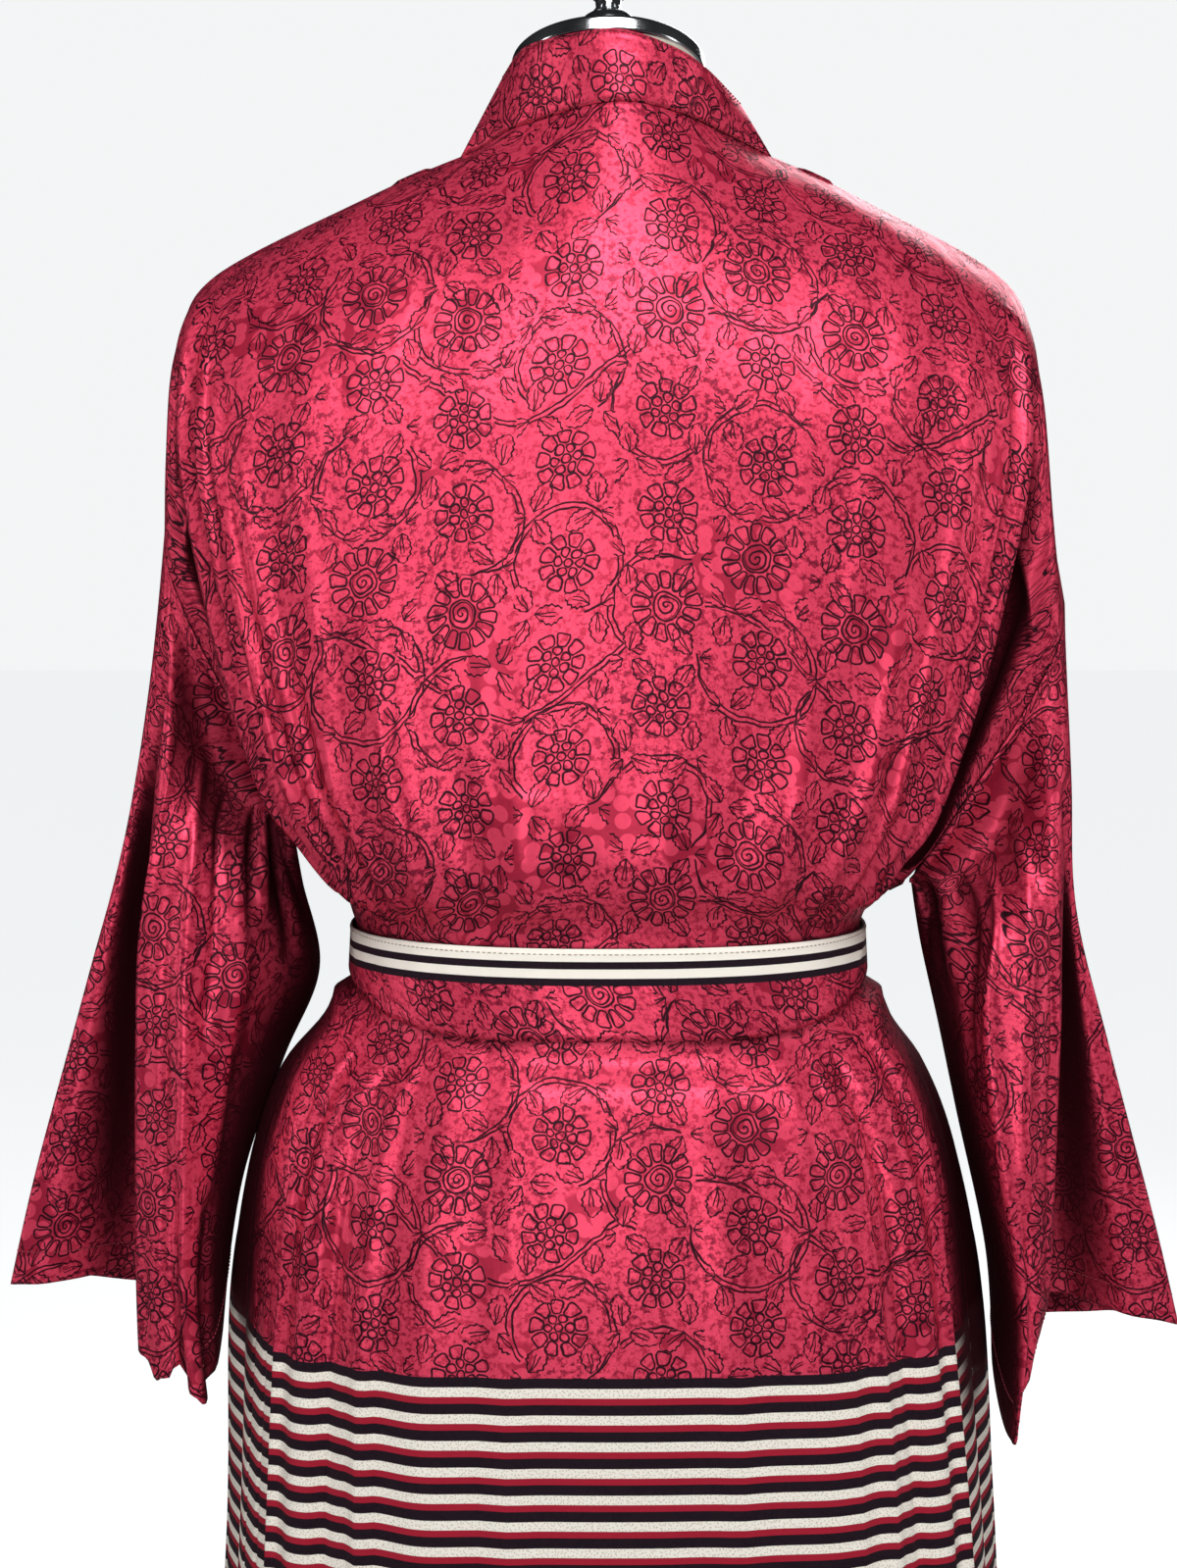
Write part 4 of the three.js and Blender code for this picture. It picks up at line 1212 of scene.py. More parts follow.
@dataclass
class Neckband(Cloth):
    """The band round the back of the neck and down both front edges."""

    def down(self, side: Side) -> np.ndarray:
        """The band down one front.

        Args:
            side: the wearer's side.

        Returns:
            Rows from the shoulder to the hem, each from the seam to the free edge.
        """
        sign = side.value
        levels = BODY_LEVELS
        level = levels[:, None]
        seam = front_points(sign, np.zeros(1), levels, FRONT_FOLDS)[:, 0]
        top = STANDING_EDGE[0 if side is Side.LEFT else -1]
        free = [top, *((sign * x, y, z) for x, y, z in CHEST_EDGE)]
        last = len(FRONT_ROWS) - 1
        for index in range(len(free), len(FRONT_ROWS)):
            before, row, after = (FRONT_ROWS[min(k, last)] for k in (index - 1, index, index + 1))
            slant = np.array([before[0] - after[0], before[1] - after[1]], float)
            slant /= np.linalg.norm(slant)
            x = row[0] - slant[1] * BAND_WIDTH
            z = row[1] if index == last else row[1] + slant[0] * BAND_WIDTH
            free.append((sign * x, float(front_y(x, z)), z))
        edge = leant(along(np.array(free, float), levels)[:, None], 0, level)
        share = np.minimum(level / 2, 1)
        edge = layered(clear_of_form(edge, BAND_GAP), sign, share, BAND_MARGIN)
        if side is Side.RIGHT:
            edge = push_out(edge, -1.4 * share)
        return self.across(seam, edge[:, 0], levels, sign)

    def across(
        self, seam: np.ndarray, edge: np.ndarray, levels: np.ndarray, side: int
    ) -> np.ndarray:
        """Rows between a seam and a free edge, curved outwards like the body under them.

        Args:
            seam: the seam's points.
            edge: the free edge's points.
            levels: their levels.
            side: 1 or -1 down a front, and 0 round the neck.

        Returns:
            The rows.
        """
        share = np.linspace(0, 1, 9)[None, :, None]
        a, b = seam[:, None], edge[:, None]
        p = lerp(a, b, share)
        if side:

            def curve(q: np.ndarray) -> np.ndarray:
                """The front's depth under points."""
                return front_y(q[..., 0], q[..., 2])

            straight = lerp(curve(a), curve(b), share[..., 0])
            p[..., 1] += (curve(p) - straight) * np.minimum(levels / 3, 1)[:, None]
        inside = cinch(clear_of_form(p, BAND_GAP), 0 if side > 0 else WRAP_STEP + 0.5, BAND_MARGIN)
        direction = (b - a) / np.linalg.norm(b - a, axis=-1, keepdims=True)
        p = np.where((share > 0) & (share < 1), inside, p)
        p[:, :1] = a + direction * SEAM_GAP
        return p

    def sheet(self) -> Sheet:
        """The band's grid.

        Returns:
            The sheet, from the wearer's left hem round the neck to the right hem.
        """
        places = np.linspace(1, -1, 61)[1:-1]
        edge = along(np.array(STANDING_EDGE, float), 3 - 3 * places)
        edge[:, 0] -= NECK_LEAN
        seam = back_points(places, np.zeros(1), BACK_FOLDS)[0]
        edge = clear_of_form(edge, BAND_GAP + 0.8)
        around = self.across(seam, edge, np.zeros(len(places)), 0)
        rows = [self.down(Side.LEFT)[::-1], around, self.down(Side.RIGHT)]
        points = np.concatenate(rows)[:, ::-1]
        return Sheet(points, BAND_WALL, zero_row=len(points) // 2, offset=(BAND_OFFSET, 0.0))


def ring_points(
    half: Amount, back: Amount, front: Amount, angle: np.ndarray, z: Amount
) -> np.ndarray:
    """Points on a squarish ring.

    Args:
        half: its half width.
        back: its depth towards +Y.
        front: its depth towards -Y.
        angle: angles from +X towards +Y.
        z: heights.

    Returns:
        The points.
    """
    c, s = np.cos(angle), np.sin(angle)
    p = np.stack([c * half, s * np.where(s > 0, back, front), z + 0 * c], axis=-1)
    r = reach(p, half, back, front)
    p[..., :2] /= r[..., None]
    return p


@dataclass
class SashBand(Cloth):
    """The sash's band round the waist, with its lower edge folded up at the sides.

    Attributes:
        creases: soft slanting creases, as rows of angle in degrees, share down, width in
            degrees and depth in millimetres.
    """

    creases: tuple = ()

    def sheet(self) -> Sheet:
        """The waist band's grid.

        Returns:
            The sheet, from the upper edge to the lower one, all round.
        """
        angle = np.linspace(0, 2 * math.pi, 240, endpoint=False)
        upper = ring_points(*sash_ring(np.array(SASH_TOP)), angle, SASH_TOP)
        share = np.linspace(0, 1, 13)[:, None]
        z = lerp(SASH_TOP, sash_low(upper)[None], share)
        half, back, front = (size + BAND_WALL for size in sash_ring(z))
        points = ring_points(half, back, front, np.broadcast_to(angle, z.shape), z)
        points = push_out(points, self.crease_height(np.degrees(angle)[None], share))
        return Sheet(points[:, ::-1], BAND_WALL, loop=True, offset=(SASH_OFFSET, 0.0))

    def crease_height(self, degrees: np.ndarray, share: np.ndarray) -> np.ndarray:
        """Height of the creases.

        Args:
            degrees: angles round the waist.
            share: places down the band, from 0 to 1.

        Returns:
            Millimetres, 0 at the band's edges.
        """
        total = np.zeros(np.broadcast(degrees, share).shape)
        for middle, slant, width, depth in self.creases:
            gap = (degrees - middle - slant * (share - 0.5) + 180) % 360 - 180
            total += depth * np.exp(-((gap / width) ** 2)) * 4 * share * (1 - share)
        return total


KNOT_X = 20.0
KNOT_Y = -(SASH_FRONT + BAND_WALL + SEAM_GAP)
KNOT_Z = (SASH_TOP + SASH_BOTTOM) / 2
KNOT_DEPTH = 17.0
KNOT_ROUNDNESS = 0.75
KNOT_POWER = 2 / KNOT_ROUNDNESS
KNOT_SLANT = 0.08
KNOT_PROFILE = np.array(
    [(0, 25, 24.5), (0.2, 28, 25), (0.6, 26, 23), (0.88, 20, 18), (1, 12, 11)], float
)


def knot_foot(x: np.ndarray, y: np.ndarray) -> np.ndarray:
    """Height of the knot's underside.

    Args:
        x: places across.
        y: depths.

    Returns:
        z at those places.
    """
    deep = (KNOT_Y - y) / KNOT_DEPTH
    width = np.interp(deep, KNOT_PROFILE[:, 0], KNOT_PROFILE[:, 1])
    height = np.interp(deep, KNOT_PROFILE[:, 0], KNOT_PROFILE[:, 2])
    side = np.minimum(np.abs(x - KNOT_X) / width, 1)
    curve = (1 - side**KNOT_POWER) ** (1 / KNOT_POWER)
    return KNOT_Z - height * curve - KNOT_SLANT * (x - KNOT_X)


@dataclass
class SashTail(Cloth):
    """A tail of the sash, which comes out under the knot and lies on the upper front.

    Attributes:
        lean: how far it goes sideways over its length.
        lift: how far it lies off the front.
        length: its length.
    """

    lean: float = 0.0
    lift: float = 4.0
    length: float = TAIL_LENGTH

    def sheet(self) -> Sheet:
        """The tail's grid.

        Returns:
            The sheet, from the knot to the tail's end.
        """
        share = np.linspace(0, 1, 61)[:, None]
        w = np.linspace(1, -1, 13)[None]
        z = SASH_BOTTOM - 2.5 - share * self.length + 0 * w
        x = KNOT_X + self.lean * (0.25 + 0.75 * share)
        x = x + w * (TAIL_WIDTH / 2) * (0.4 + 0.6 * np.minimum(share * 3, 1))
        wave = np.abs(1.2 * np.sin(share * 11 + self.lean))
        y = front_y(x, z) - WRAP_STEP - self.lift - wave * (1 + w)
        z[0] = knot_foot(x[0], y[0]) - SEAM_GAP
        return Sheet(np.stack([x, y, z], axis=-1), BAND_WALL, turned=True)


@dataclass
class SashKnot(Piece):
    """The sash's knot: a squarish pad with the cloth's turns drawn over it."""

    def make(self) -> bpy.types.Object:
        """Builds the knot.

        Returns:
            The settled object.
        """
        angle = np.linspace(0, 2 * math.pi, 64, endpoint=False)[None]
        deep = np.concatenate([np.linspace(0, 0.9, 13), [0.96, 1.0]])[:, None]
        index = np.interp(deep, KNOT_PROFILE[:, 0], range(len(KNOT_PROFILE)))
        sizes = along(KNOT_PROFILE[:, 1:], index.ravel())
        c, s = np.cos(angle), np.sin(angle)
        x = sizes[:, :1] * np.sign(c) * np.abs(c) ** KNOT_ROUNDNESS
        z = sizes[:, 1:] * np.sign(s) * np.abs(s) ** KNOT_ROUNDNESS
        turns = 1 - 0.035 * (0.5 + 0.5 * np.cos((x * 0.35 + z) * 0.42)) * np.sin(math.pi * deep)
        x, z = x * turns, z * turns
        y = KNOT_Y - KNOT_DEPTH * deep + 0.04 * x
        points = np.stack([KNOT_X + x, y, KNOT_Z + z - KNOT_SLANT * x], axis=-1)
        cloth = np.stack([points[..., 0], z - sizes[:, 1:].max() + 0.35 * x - 6 * deep], -1)
        return self.settle(lofted(self.name, points, cloth))


def lofted(name: str, rows: np.ndarray, cloth: np.ndarray | None = None) -> bpy.types.Object:
    """A solid through closed rows of points, with a flat cap at each end and a UV map.

    Args:
        name: the object's name.
        rows: points, (rows, columns, 3), in millimetres.
        cloth: cloth coordinates of each point, run round and along the solid if left out.

    Returns:
        The new object.
    """
    count, cols = rows.shape[:2]
    i, j = (a.ravel() for a in np.meshgrid(range(count - 1), range(cols), indexing="ij"))
    k = (j + 1) % cols
    quads = np.stack([i * cols + j, (i + 1) * cols + j, (i + 1) * cols + k, i * cols + k], -1)
    last = range((count - 1) * cols, count * cols)
    faces = [*quads.tolist(), list(range(cols)), list(reversed(last))]
    mesh = mesh_from(name, rows.reshape(-1, 3), faces)
    if signed_volume(mesh) < 0:
        mesh.flip_normals()
    layer = mesh.uv_layers.new(name="cloth")
    corner = np.zeros(len(mesh.loops), int)
    mesh.loops.foreach_get("vertex_index", corner)
    if cloth is None:
        wide = np.linalg.norm(np.ptp(rows, axis=1), axis=-1).max() * 1.4
        round_ = np.broadcast_to(np.arange(cols) / cols * wide, (count, cols))
        cloth = np.stack([round_, -arc(rows, 0)], -1)
    layer.data.foreach_set("uv", (cloth.reshape(-1, 2)[corner] * MM).astype(np.float32).ravel())
    return add_object(name, mesh)


def signed_volume(mesh: bpy.types.Mesh) -> float:
    """Volume inside a closed mesh, below 0 where its faces point inwards."""
    return sum(face.center.dot(face.normal) * face.area for face in mesh.polygons) / 3


# --- The dress form and its stand ---------------------------------------------------------------


@dataclass
class FormTorso(Piece):
    """The limbless form: a smooth torso covered in linen.

    Attributes:
        tilt: the slope of its top face, down towards the front.
        neck_from: the height from which the neck takes that slope.
        rows: how many rings it is lofted through.
        columns: how many points each has.
    """

    tilt: float = 0.3
    neck_from: float = 1441.0
    rows: int = 145
    columns: int = 128

    def make(self) -> bpy.types.Object:
        """Builds the torso on a finer grid of its own sections.

        Returns:
            The settled object.
        """
        places = np.linspace(0, len(FORM) - 1, self.rows)
        heights = np.interp(places, range(len(FORM)), FORM[:, 0])
        section = section_at(FORM, heights)[:, None]
        angle = np.linspace(0, 2 * math.pi, self.columns, endpoint=False)[None]
        angle = np.broadcast_to(angle, (self.rows, self.columns))
        z = heights[:, None] + 0 * angle
        points = ring_points(section[..., 0], section[..., 1], section[..., 2], angle, z)
        above = (z - self.neck_from) / (FORM[-1, 0] - self.neck_from)
        lean = self.tilt * np.clip(above, 0, 1)
        points[..., 2] += lean * points[..., 1]
        return self.settle(lofted(self.name, points))


@dataclass
class Turned(Piece):
    """A solid of revolution.

    Attributes:
        profile: radius and height pairs, from the axis back to the axis, in millimetres.
        place: where its foot stands.
        tilt: how far it leans towards the front, in radians.
        rounding: radius that its edges are rounded to.
    """

    profile: tuple = ()
    place: tuple = (0.0, 0.0, 0.0)
    tilt: float = 0.0
    rounding: float = 0.8

    def rounded(self) -> list[tuple[float, float]]:
        """Rounds the profile's edges.

        Returns:
            The profile with each edge replaced by a short arc.
        """
        points = [Vector(p) for p in self.profile]
        made = [tuple(points[0])]
        for before, here, after in zip(points, points[1:], points[2:]):
            room = min((before - here).length, (after - here).length) / 2
            reach_out = min(self.rounding, room * 0.95)
            a = here + (before - here).normalized() * reach_out
            b = here + (after - here).normalized() * reach_out
            for t in (0, 0.25, 0.5, 0.75, 1):
                made.append(tuple(a.lerp(here, t).lerp(here.lerp(b, t), t)))
        return [*made, tuple(points[-1])]

    def make(self) -> bpy.types.Object:
        """Builds the turned piece.

        Returns:
            The settled object.
        """
        profile = np.array(self.rounded())[1:-1]
        angle = np.linspace(0, 2 * math.pi, 96, endpoint=False)
        r, z = profile[:, :1], profile[:, 1:]
        x, y = r * np.cos(angle), r * np.sin(angle)
        c, s = math.cos(self.tilt), math.sin(self.tilt)
        points = np.stack([x, y * c - z * s, y * s + z * c], axis=-1) + np.array(self.place)
        return self.settle(lofted(self.name, points))


# --- Shader arithmetic --------------------------------------------------------------------------


@dataclass(frozen=True)
class Signal:
    """An output socket that takes part in arithmetic by making math nodes."""

    graph: Graph
    socket: bpy.types.NodeSocket

    def __add__(self, other: Signal | float) -> Signal:
        """Sum."""
        return self.graph.math("ADD", self, other)

    __radd__ = __add__

    def __sub__(self, other: Signal | float) -> Signal:
        """Difference."""
        return self.graph.math("SUBTRACT", self, other)

    def __rsub__(self, other: Signal | float) -> Signal:
        """Difference from a number."""
        return self.graph.math("SUBTRACT", other, self)

    def __mul__(self, other: Signal | float) -> Signal:
        """Product."""
        return self.graph.math("MULTIPLY", self, other)

    __rmul__ = __mul__

    def __truediv__(self, other: Signal | float) -> Signal:
        """Quotient."""
        return self.graph.math("DIVIDE", self, other)

    def apply(self, operation: str, other: Signal | float | None = None) -> Signal:
        """Any other math node."""
        return self.graph.math(operation, *([self] if other is None else [self, other]))

    def absolute(self) -> Signal:
        """Absolute value."""
        return self.apply("ABSOLUTE")

    def fraction(self) -> Signal:
        """Fractional part."""
        return self.apply("FRACT")

    def floor(self) -> Signal:
        """Whole part."""
        return self.apply("FLOOR")

    def larger(self, other: Signal | float) -> Signal:
        """The larger of two values."""
        return self.apply("MAXIMUM", other)

    def smaller(self, other: Signal | float) -> Signal:
        """The smaller of two values."""
        return self.apply("MINIMUM", other)

    def step(self, low: float, high: float, start: float = 0.0, end: float = 1.0) -> Signal:
        """Smooth change between two values.

        Args:
            low: where the change begins.
            high: where it ends.
            start: the result up to low.
            end: the result from high.

        Returns:
            The result.
        """
        node = self.graph.node(
            "ShaderNodeMapRange",
            {0: self, 1: low, 2: high, 3: start, 4: end},
            interpolation_type="SMOOTHSTEP",
        )
        return Signal(self.graph, node.outputs[0])


@dataclass(frozen=True)
class Graph:
    """A node tree with short ways to add to it."""

    tree: bpy.types.NodeTree

    def node(self, kind: str, inputs: dict | None = None, **settings: object) -> bpy.types.Node:
        """Adds a node.

        Args:
            kind: the node's type.
            inputs: values or signals by socket name or number.
            **settings: properties of the node.

        Returns:
            The node.
        """
        made = self.tree.nodes.new(kind)
        for name, value in settings.items():
            setattr(made, name, value)
        for name, value in (inputs or {}).items():
            self.feed(made.inputs[name], value)
        return made

    def feed(self, socket: bpy.types.NodeSocket, value: object) -> None:
        """Sets a socket's own value, or links a signal to it.

        Args:
            socket: the input.
            value: a plain value or a signal.
        """
        if isinstance(value, Signal):
            self.tree.links.new(value.socket, socket)
        else:
            socket.default_value = value

    def math(self, operation: str, *values: Signal | float) -> Signal:
        """Adds a math node."""
        node = self.node("ShaderNodeMath", dict(enumerate(values)), operation=operation)
        return Signal(self, node.outputs[0])

    def split(self, vector: Signal) -> tuple[Signal, Signal, Signal]:
        """The parts of a vector."""
        node = self.node("ShaderNodeSeparateXYZ", {0: vector})
        return tuple(Signal(self, out) for out in node.outputs)

    def vector(self, *parts: Signal | float) -> Signal:
        """A vector from its parts."""
        return Signal(self, self.node("ShaderNodeCombineXYZ", dict(enumerate(parts))).outputs[0])

    def shifted(
        self, vector: Signal, scale: tuple = (1, 1, 1), place: tuple = (0, 0, 0)
    ) -> Signal:
        """A vector scaled and moved."""
        node = self.node("ShaderNodeMapping", {"Vector": vector, "Location": place, "Scale": scale})
        return Signal(self, node.outputs[0])

    def noise(
        self, vector: Signal, scale: float, detail: float = 2.0, rough: float = 0.5
    ) -> Signal:
        """Smooth noise.

        Args:
            vector: the place.
            scale: waves in each unit of length.
            detail: how many finer layers it has.
            rough: how strong they are.

        Returns:
            Values from 0 to 1.
        """
        node = self.node(
            "ShaderNodeTexNoise",
            {"Vector": vector, "Scale": scale, "Detail": detail, "Roughness": rough},
        )
        return Signal(self, node.outputs["Fac"])

    def cells(self, vector: Signal, scale: float, randomness: float = 1.0) -> Signal:
        """Distance to the nearest point of a scattered set.

        Args:
            vector: the place.
            scale: points in each unit of length.
            randomness: how far they stray from a square grid.

        Returns:
            The distance, in cells.
        """
        node = self.node(
            "ShaderNodeTexVoronoi",
            {"Vector": vector, "Scale": scale, "Randomness": randomness},
            voronoi_dimensions="2D",
        )
        return Signal(self, node.outputs["Distance"])

    def blend(
        self, share: Signal, first: Signal | tuple, second: Signal | tuple
    ) -> Signal:
        """Blend of two colours."""
        node = self.node("ShaderNodeMix", {0: share, 6: first, 7: second}, data_type="RGBA")
        return Signal(self, node.outputs[2])


@dataclass
class Effect:
    """A shader node group that several materials share.

    Attributes:
        name: the group's name.
        inputs: socket types by name.
        outputs: socket types by name.
    """

    name: str
    inputs: dict
    outputs: dict
    tree: bpy.types.NodeTree = field(init=False)

    def __post_init__(self) -> None:
        """Makes the group and its interface, then fills it."""
        self.tree = bpy.data.node_groups.new(self.name, "ShaderNodeTree")
        for sockets, way in ((self.inputs, "INPUT"), (self.outputs, "OUTPUT")):
            for name, kind in sockets.items():
                self.tree.interface.new_socket(name, in_out=way, socket_type=kind)
        graph = Graph(self.tree)
        entry = graph.node("NodeGroupInput")
        leave = graph.node("NodeGroupOutput")
        given = {name: Signal(graph, entry.outputs[name]) for name in self.inputs}
        for name, value in self.draw(graph, given).items():
            graph.feed(leave.inputs[name], value)

    def draw(self, graph: Graph, given: dict) -> dict:
        """Fills the group; each effect has its own.

        Args:
            graph: the group's tree.
            given: the inputs as signals.

        Returns:
            The outputs by name.
        """
        raise NotImplementedError

    def use(self, graph: Graph, **given: Signal) -> dict:
        """Adds the group to another tree.

        Args:
            graph: the tree that uses it.
            **given: its inputs.

        Returns:
            Its outputs as signals, by name.
        """
        node = graph.node("ShaderNodeGroup", node_tree=self.tree)
        for name, value in given.items():
            graph.feed(node.inputs[name], value)
        return {name: Signal(graph, node.outputs[name]) for name in self.outputs}


VECTOR, FLOAT = "NodeSocketVector", "NodeSocketFloat"
TURN = 2 * math.pi


class ClothPlace(Effect):
    """Cloth coordinates in millimetres, with a slight wander as of a hand-drawn block."""

    def draw(self, graph: Graph, given: dict) -> dict:
        """See Effect.

        Args:
            graph: the group's tree.
            given: the inputs as signals; not used.

        Returns:
            The outputs by name.
        """
        uv = graph.node("ShaderNodeUVMap", uv_map="cloth")
        flat = graph.shifted(Signal(graph, uv.outputs[0]), (1000, 1000, 1000))
        wander = graph.node("ShaderNodeTexNoise", {"Vector": flat, "Scale": 0.11, "Detail": 1.0})
        centred = graph.shifted(Signal(graph, wander.outputs["Color"]), (3.4,) * 3, (-1.7,) * 3)
        moved = graph.node("ShaderNodeVectorMath", {0: flat, 1: centred}, operation="ADD")
        return {"Flat": flat, "Drawn": Signal(graph, moved.outputs[0])}


CELL = 48.0  # spacing of the print's flowers


class PrintLines(Effect):
    """The print's line work: scattered flowers, leaves between them and vines behind."""

    def draw(self, graph: Graph, given: dict) -> dict:
        """See Effect.

        Args:
            graph: the group's tree.
            given: the inputs as signals.

        Returns:
            The outputs by name.
        """
        x, y, _ = graph.split(given["Drawn"])
        flower, flower_cover = self.flowers(graph, x, y)
        leaf, leaf_cover = self.leaves(graph, x, y)
        vine = self.vines(x, y)
        for ahead, drop, share in ((0.5, 0.25, 0.78), (1.5, 0.5, 0.52)):
            vine = vine.larger(self.stems(graph, x + CELL * ahead, y, drop, share))
        vine = vine * (1 - flower_cover.larger(leaf_cover))
        return {"Lines": flower.larger(leaf).larger(vine)}

    @staticmethod
    def line(distance: Signal, half: float = 0.5) -> Signal:
        """A drawn line where a distance is 0."""
        return distance.absolute().step(half - 0.17, half + 0.17, 1.0, 0.0)

    @staticmethod
    def lattice(x: Signal, y: Signal, drop: float, cell: float = CELL) -> tuple[Signal, ...]:
        """A half-drop lattice.

        Args:
            x: place across.
            y: place along.
            drop: how far every column is moved along, in cells.
            cell: the cells' size.

        Returns:
            The place in a cell, and the cell's repeating column and row.
        """
        across = x / cell
        column = across.floor()
        down = y / cell + column.apply("FLOORED_MODULO", 2.0) * 0.5 + drop
        local_x = (across - column - 0.5) * cell
        local_y = (down.fraction() - 0.5) * cell
        turns = column.apply("FLOORED_MODULO", 4.0), down.floor().apply("FLOORED_MODULO", 3.0)
        return local_x, local_y, *turns

    @staticmethod
    def chances(
        graph: Graph, column: Signal, row: Signal, salt: Signal | float
    ) -> tuple[Signal, Signal, Signal]:
        """Three random numbers of a cell."""
        node = graph.node("ShaderNodeTexWhiteNoise", {"Vector": graph.vector(column, row, salt)})
        return graph.split(Signal(graph, node.outputs["Color"]))

    def flowers(self, graph: Graph, x: Signal, y: Signal) -> tuple[Signal, Signal]:
        """Round flowers: long petals about a spiral, or short ones about a cluster of beads.

        Args:
            graph: the group's tree.
            x: place across.
            y: place along.

        Returns:
            The lines, and where they cover what lies behind.
        """
        local_x, local_y, column, row = self.lattice(x, y, 0.0)
        first, second, third = self.chances(graph, column, row, 3.7)
        local_x = local_x + (first - 0.5) * 7.0
        local_y = local_y + (second - 0.5) * 5.0
        spiral = (first * 7.31 + third).fraction().step(0.43, 0.45)
        radius = (local_x * local_x + local_y * local_y).apply("SQRT")
        angle = local_y.apply("ARCTAN2", local_x) / TURN + third

        count = spiral * 4.0 + 9.0
        share = (angle * count).fraction() - 0.5
        across = share.absolute() * TURN / count * radius - radius * 0.43 * TURN / count / 1.13
        along_ = (radius - (spiral * 1.6 + 11.0)).absolute() - (spiral * 1.0 + 3.2)
        across, along_ = across + 1.5, along_ + 1.5
        outside = across.larger(0.0).apply("POWER", 2.0) + along_.larger(0.0).apply("POWER", 2.0)
        petal = outside.apply("SQRT") + across.larger(along_).smaller(0.0) - 1.5

        pitch = 2.7
        coil = ((radius / pitch - angle).fraction() - 0.5) * pitch
        coil = self.line(coil) * radius.step(5.6, 6.0, 1.0, 0.0)
        rim = self.line(radius - 6.6)
        beads_x = ((angle * 6.0).fraction() - 0.5) * (TURN / 6 * 5.3)
        beads_y = radius - 5.3
        beads = (beads_x * beads_x + beads_y * beads_y).apply("SQRT") - 2.1
        beads = self.line(beads).larger(self.line(radius - 2.1))
        heart = beads + (coil.larger(rim) - beads) * spiral
        edge = spiral * 3.2 + 14.8
        return self.line(petal).larger(heart), (radius - edge).step(0.0, 1.0, 1.0, 0.0)

    def leaves(self, graph: Graph, x: Signal, y: Signal) -> tuple[Signal, Signal]:
        """Sprays of serrated leaves in the gaps between the flowers.

        Args:
            graph: the group's tree.
            x: place across.
            y: place along.

        Returns:
            The lines, and where they cover what lies behind.
        """
        local_x, local_y, column, row = self.lattice(x, y, 0.5)
        side = local_x.apply("SIGN")
        first, second, _ = self.chances(graph, column, row, side * 2.3)
        off = local_x.absolute() - CELL / 3
        radius = (off * off + local_y * local_y).apply("SQRT")
        angle = local_y.apply("ARCTAN2", off) / TURN + first
        theta = ((angle * 3.0).fraction() - 0.5) * (TURN / 3) + (second - 0.5) * 0.5
        along_ = radius * theta.apply("COSINE")
        across = (radius * theta.apply("SINE")).absolute()
        t = (along_ - 10.2) / 7.5
        width = (1 - t * t) * 4.1
        teeth = ((along_ / 2.9 + 0.3).fraction() - 0.5).absolute() * 1.7
        blade = across - width - teeth * width.step(0.0, 1.2)
        reach_ = t.absolute().step(1.0, 1.06, 1.0, 0.0)
        notch = (along_ - 2.7) * 0.14
        rib = self.line(across - notch.larger(0.0).smaller(0.9), 0.34)
        rib = rib * along_.step(2.7, 3.0) * (along_ - 12.6).step(-0.3, 0.3, 1.0, 0.0)
        outline = self.line(blade) * reach_
        return outline.larger(rib), blade.step(0.2, 0.9, 1.0, 0.0) * reach_

    def vines(self, x: Signal, y: Signal) -> Signal:
        """Long double-lined vines that swing between the flowers.

        Args:
            x: place across.
            y: place along.

        Returns:
            The lines.
        """
        length, swing, apart = 192.0, 26.0, 144.0
        turn = x * (TURN / length)
        middle = y + turn.apply("SINE") * swing
        slope = turn.apply("COSINE") * (swing * TURN / length)
        steep = (slope * slope + 1.0).apply("SQRT")
        gap = ((middle / apart).fraction() - 0.5) * apart / steep
        return self.line(gap.absolute() - 1.1)

    def stems(self, graph: Graph, x: Signal, y: Signal, drop: float, share: float) -> Signal:
        """Double-lined stems that curl round every fourth flower and run out in a point.

        Args:
            graph: the group's tree.
            x: place across, moved to the flowers' columns.
            y: place along.
            drop: the lattice's drop, which puts the stems round their flowers.
            share: how much of a full turn a stem makes.

        Returns:
            The lines.
        """
        local_x, local_y, column, row = self.lattice(x, y, drop, CELL * 2)
        first, second, _ = self.chances(graph, column, row, drop * 17.0)
        radius = (local_x * local_x + local_y * local_y).apply("SQRT")
        turn = (local_y.apply("ARCTAN2", local_x) / TURN + first).fraction()
        middle = radius - turn * 6.0 - second * 3.0 - 23.0
        ends = turn.step(share - 0.16, share, 1.0, 0.0)
        drawn = turn.step(share, share + 0.003, 1.0, 0.0)
        return self.line(middle.absolute() - ends * 1.25) * drawn


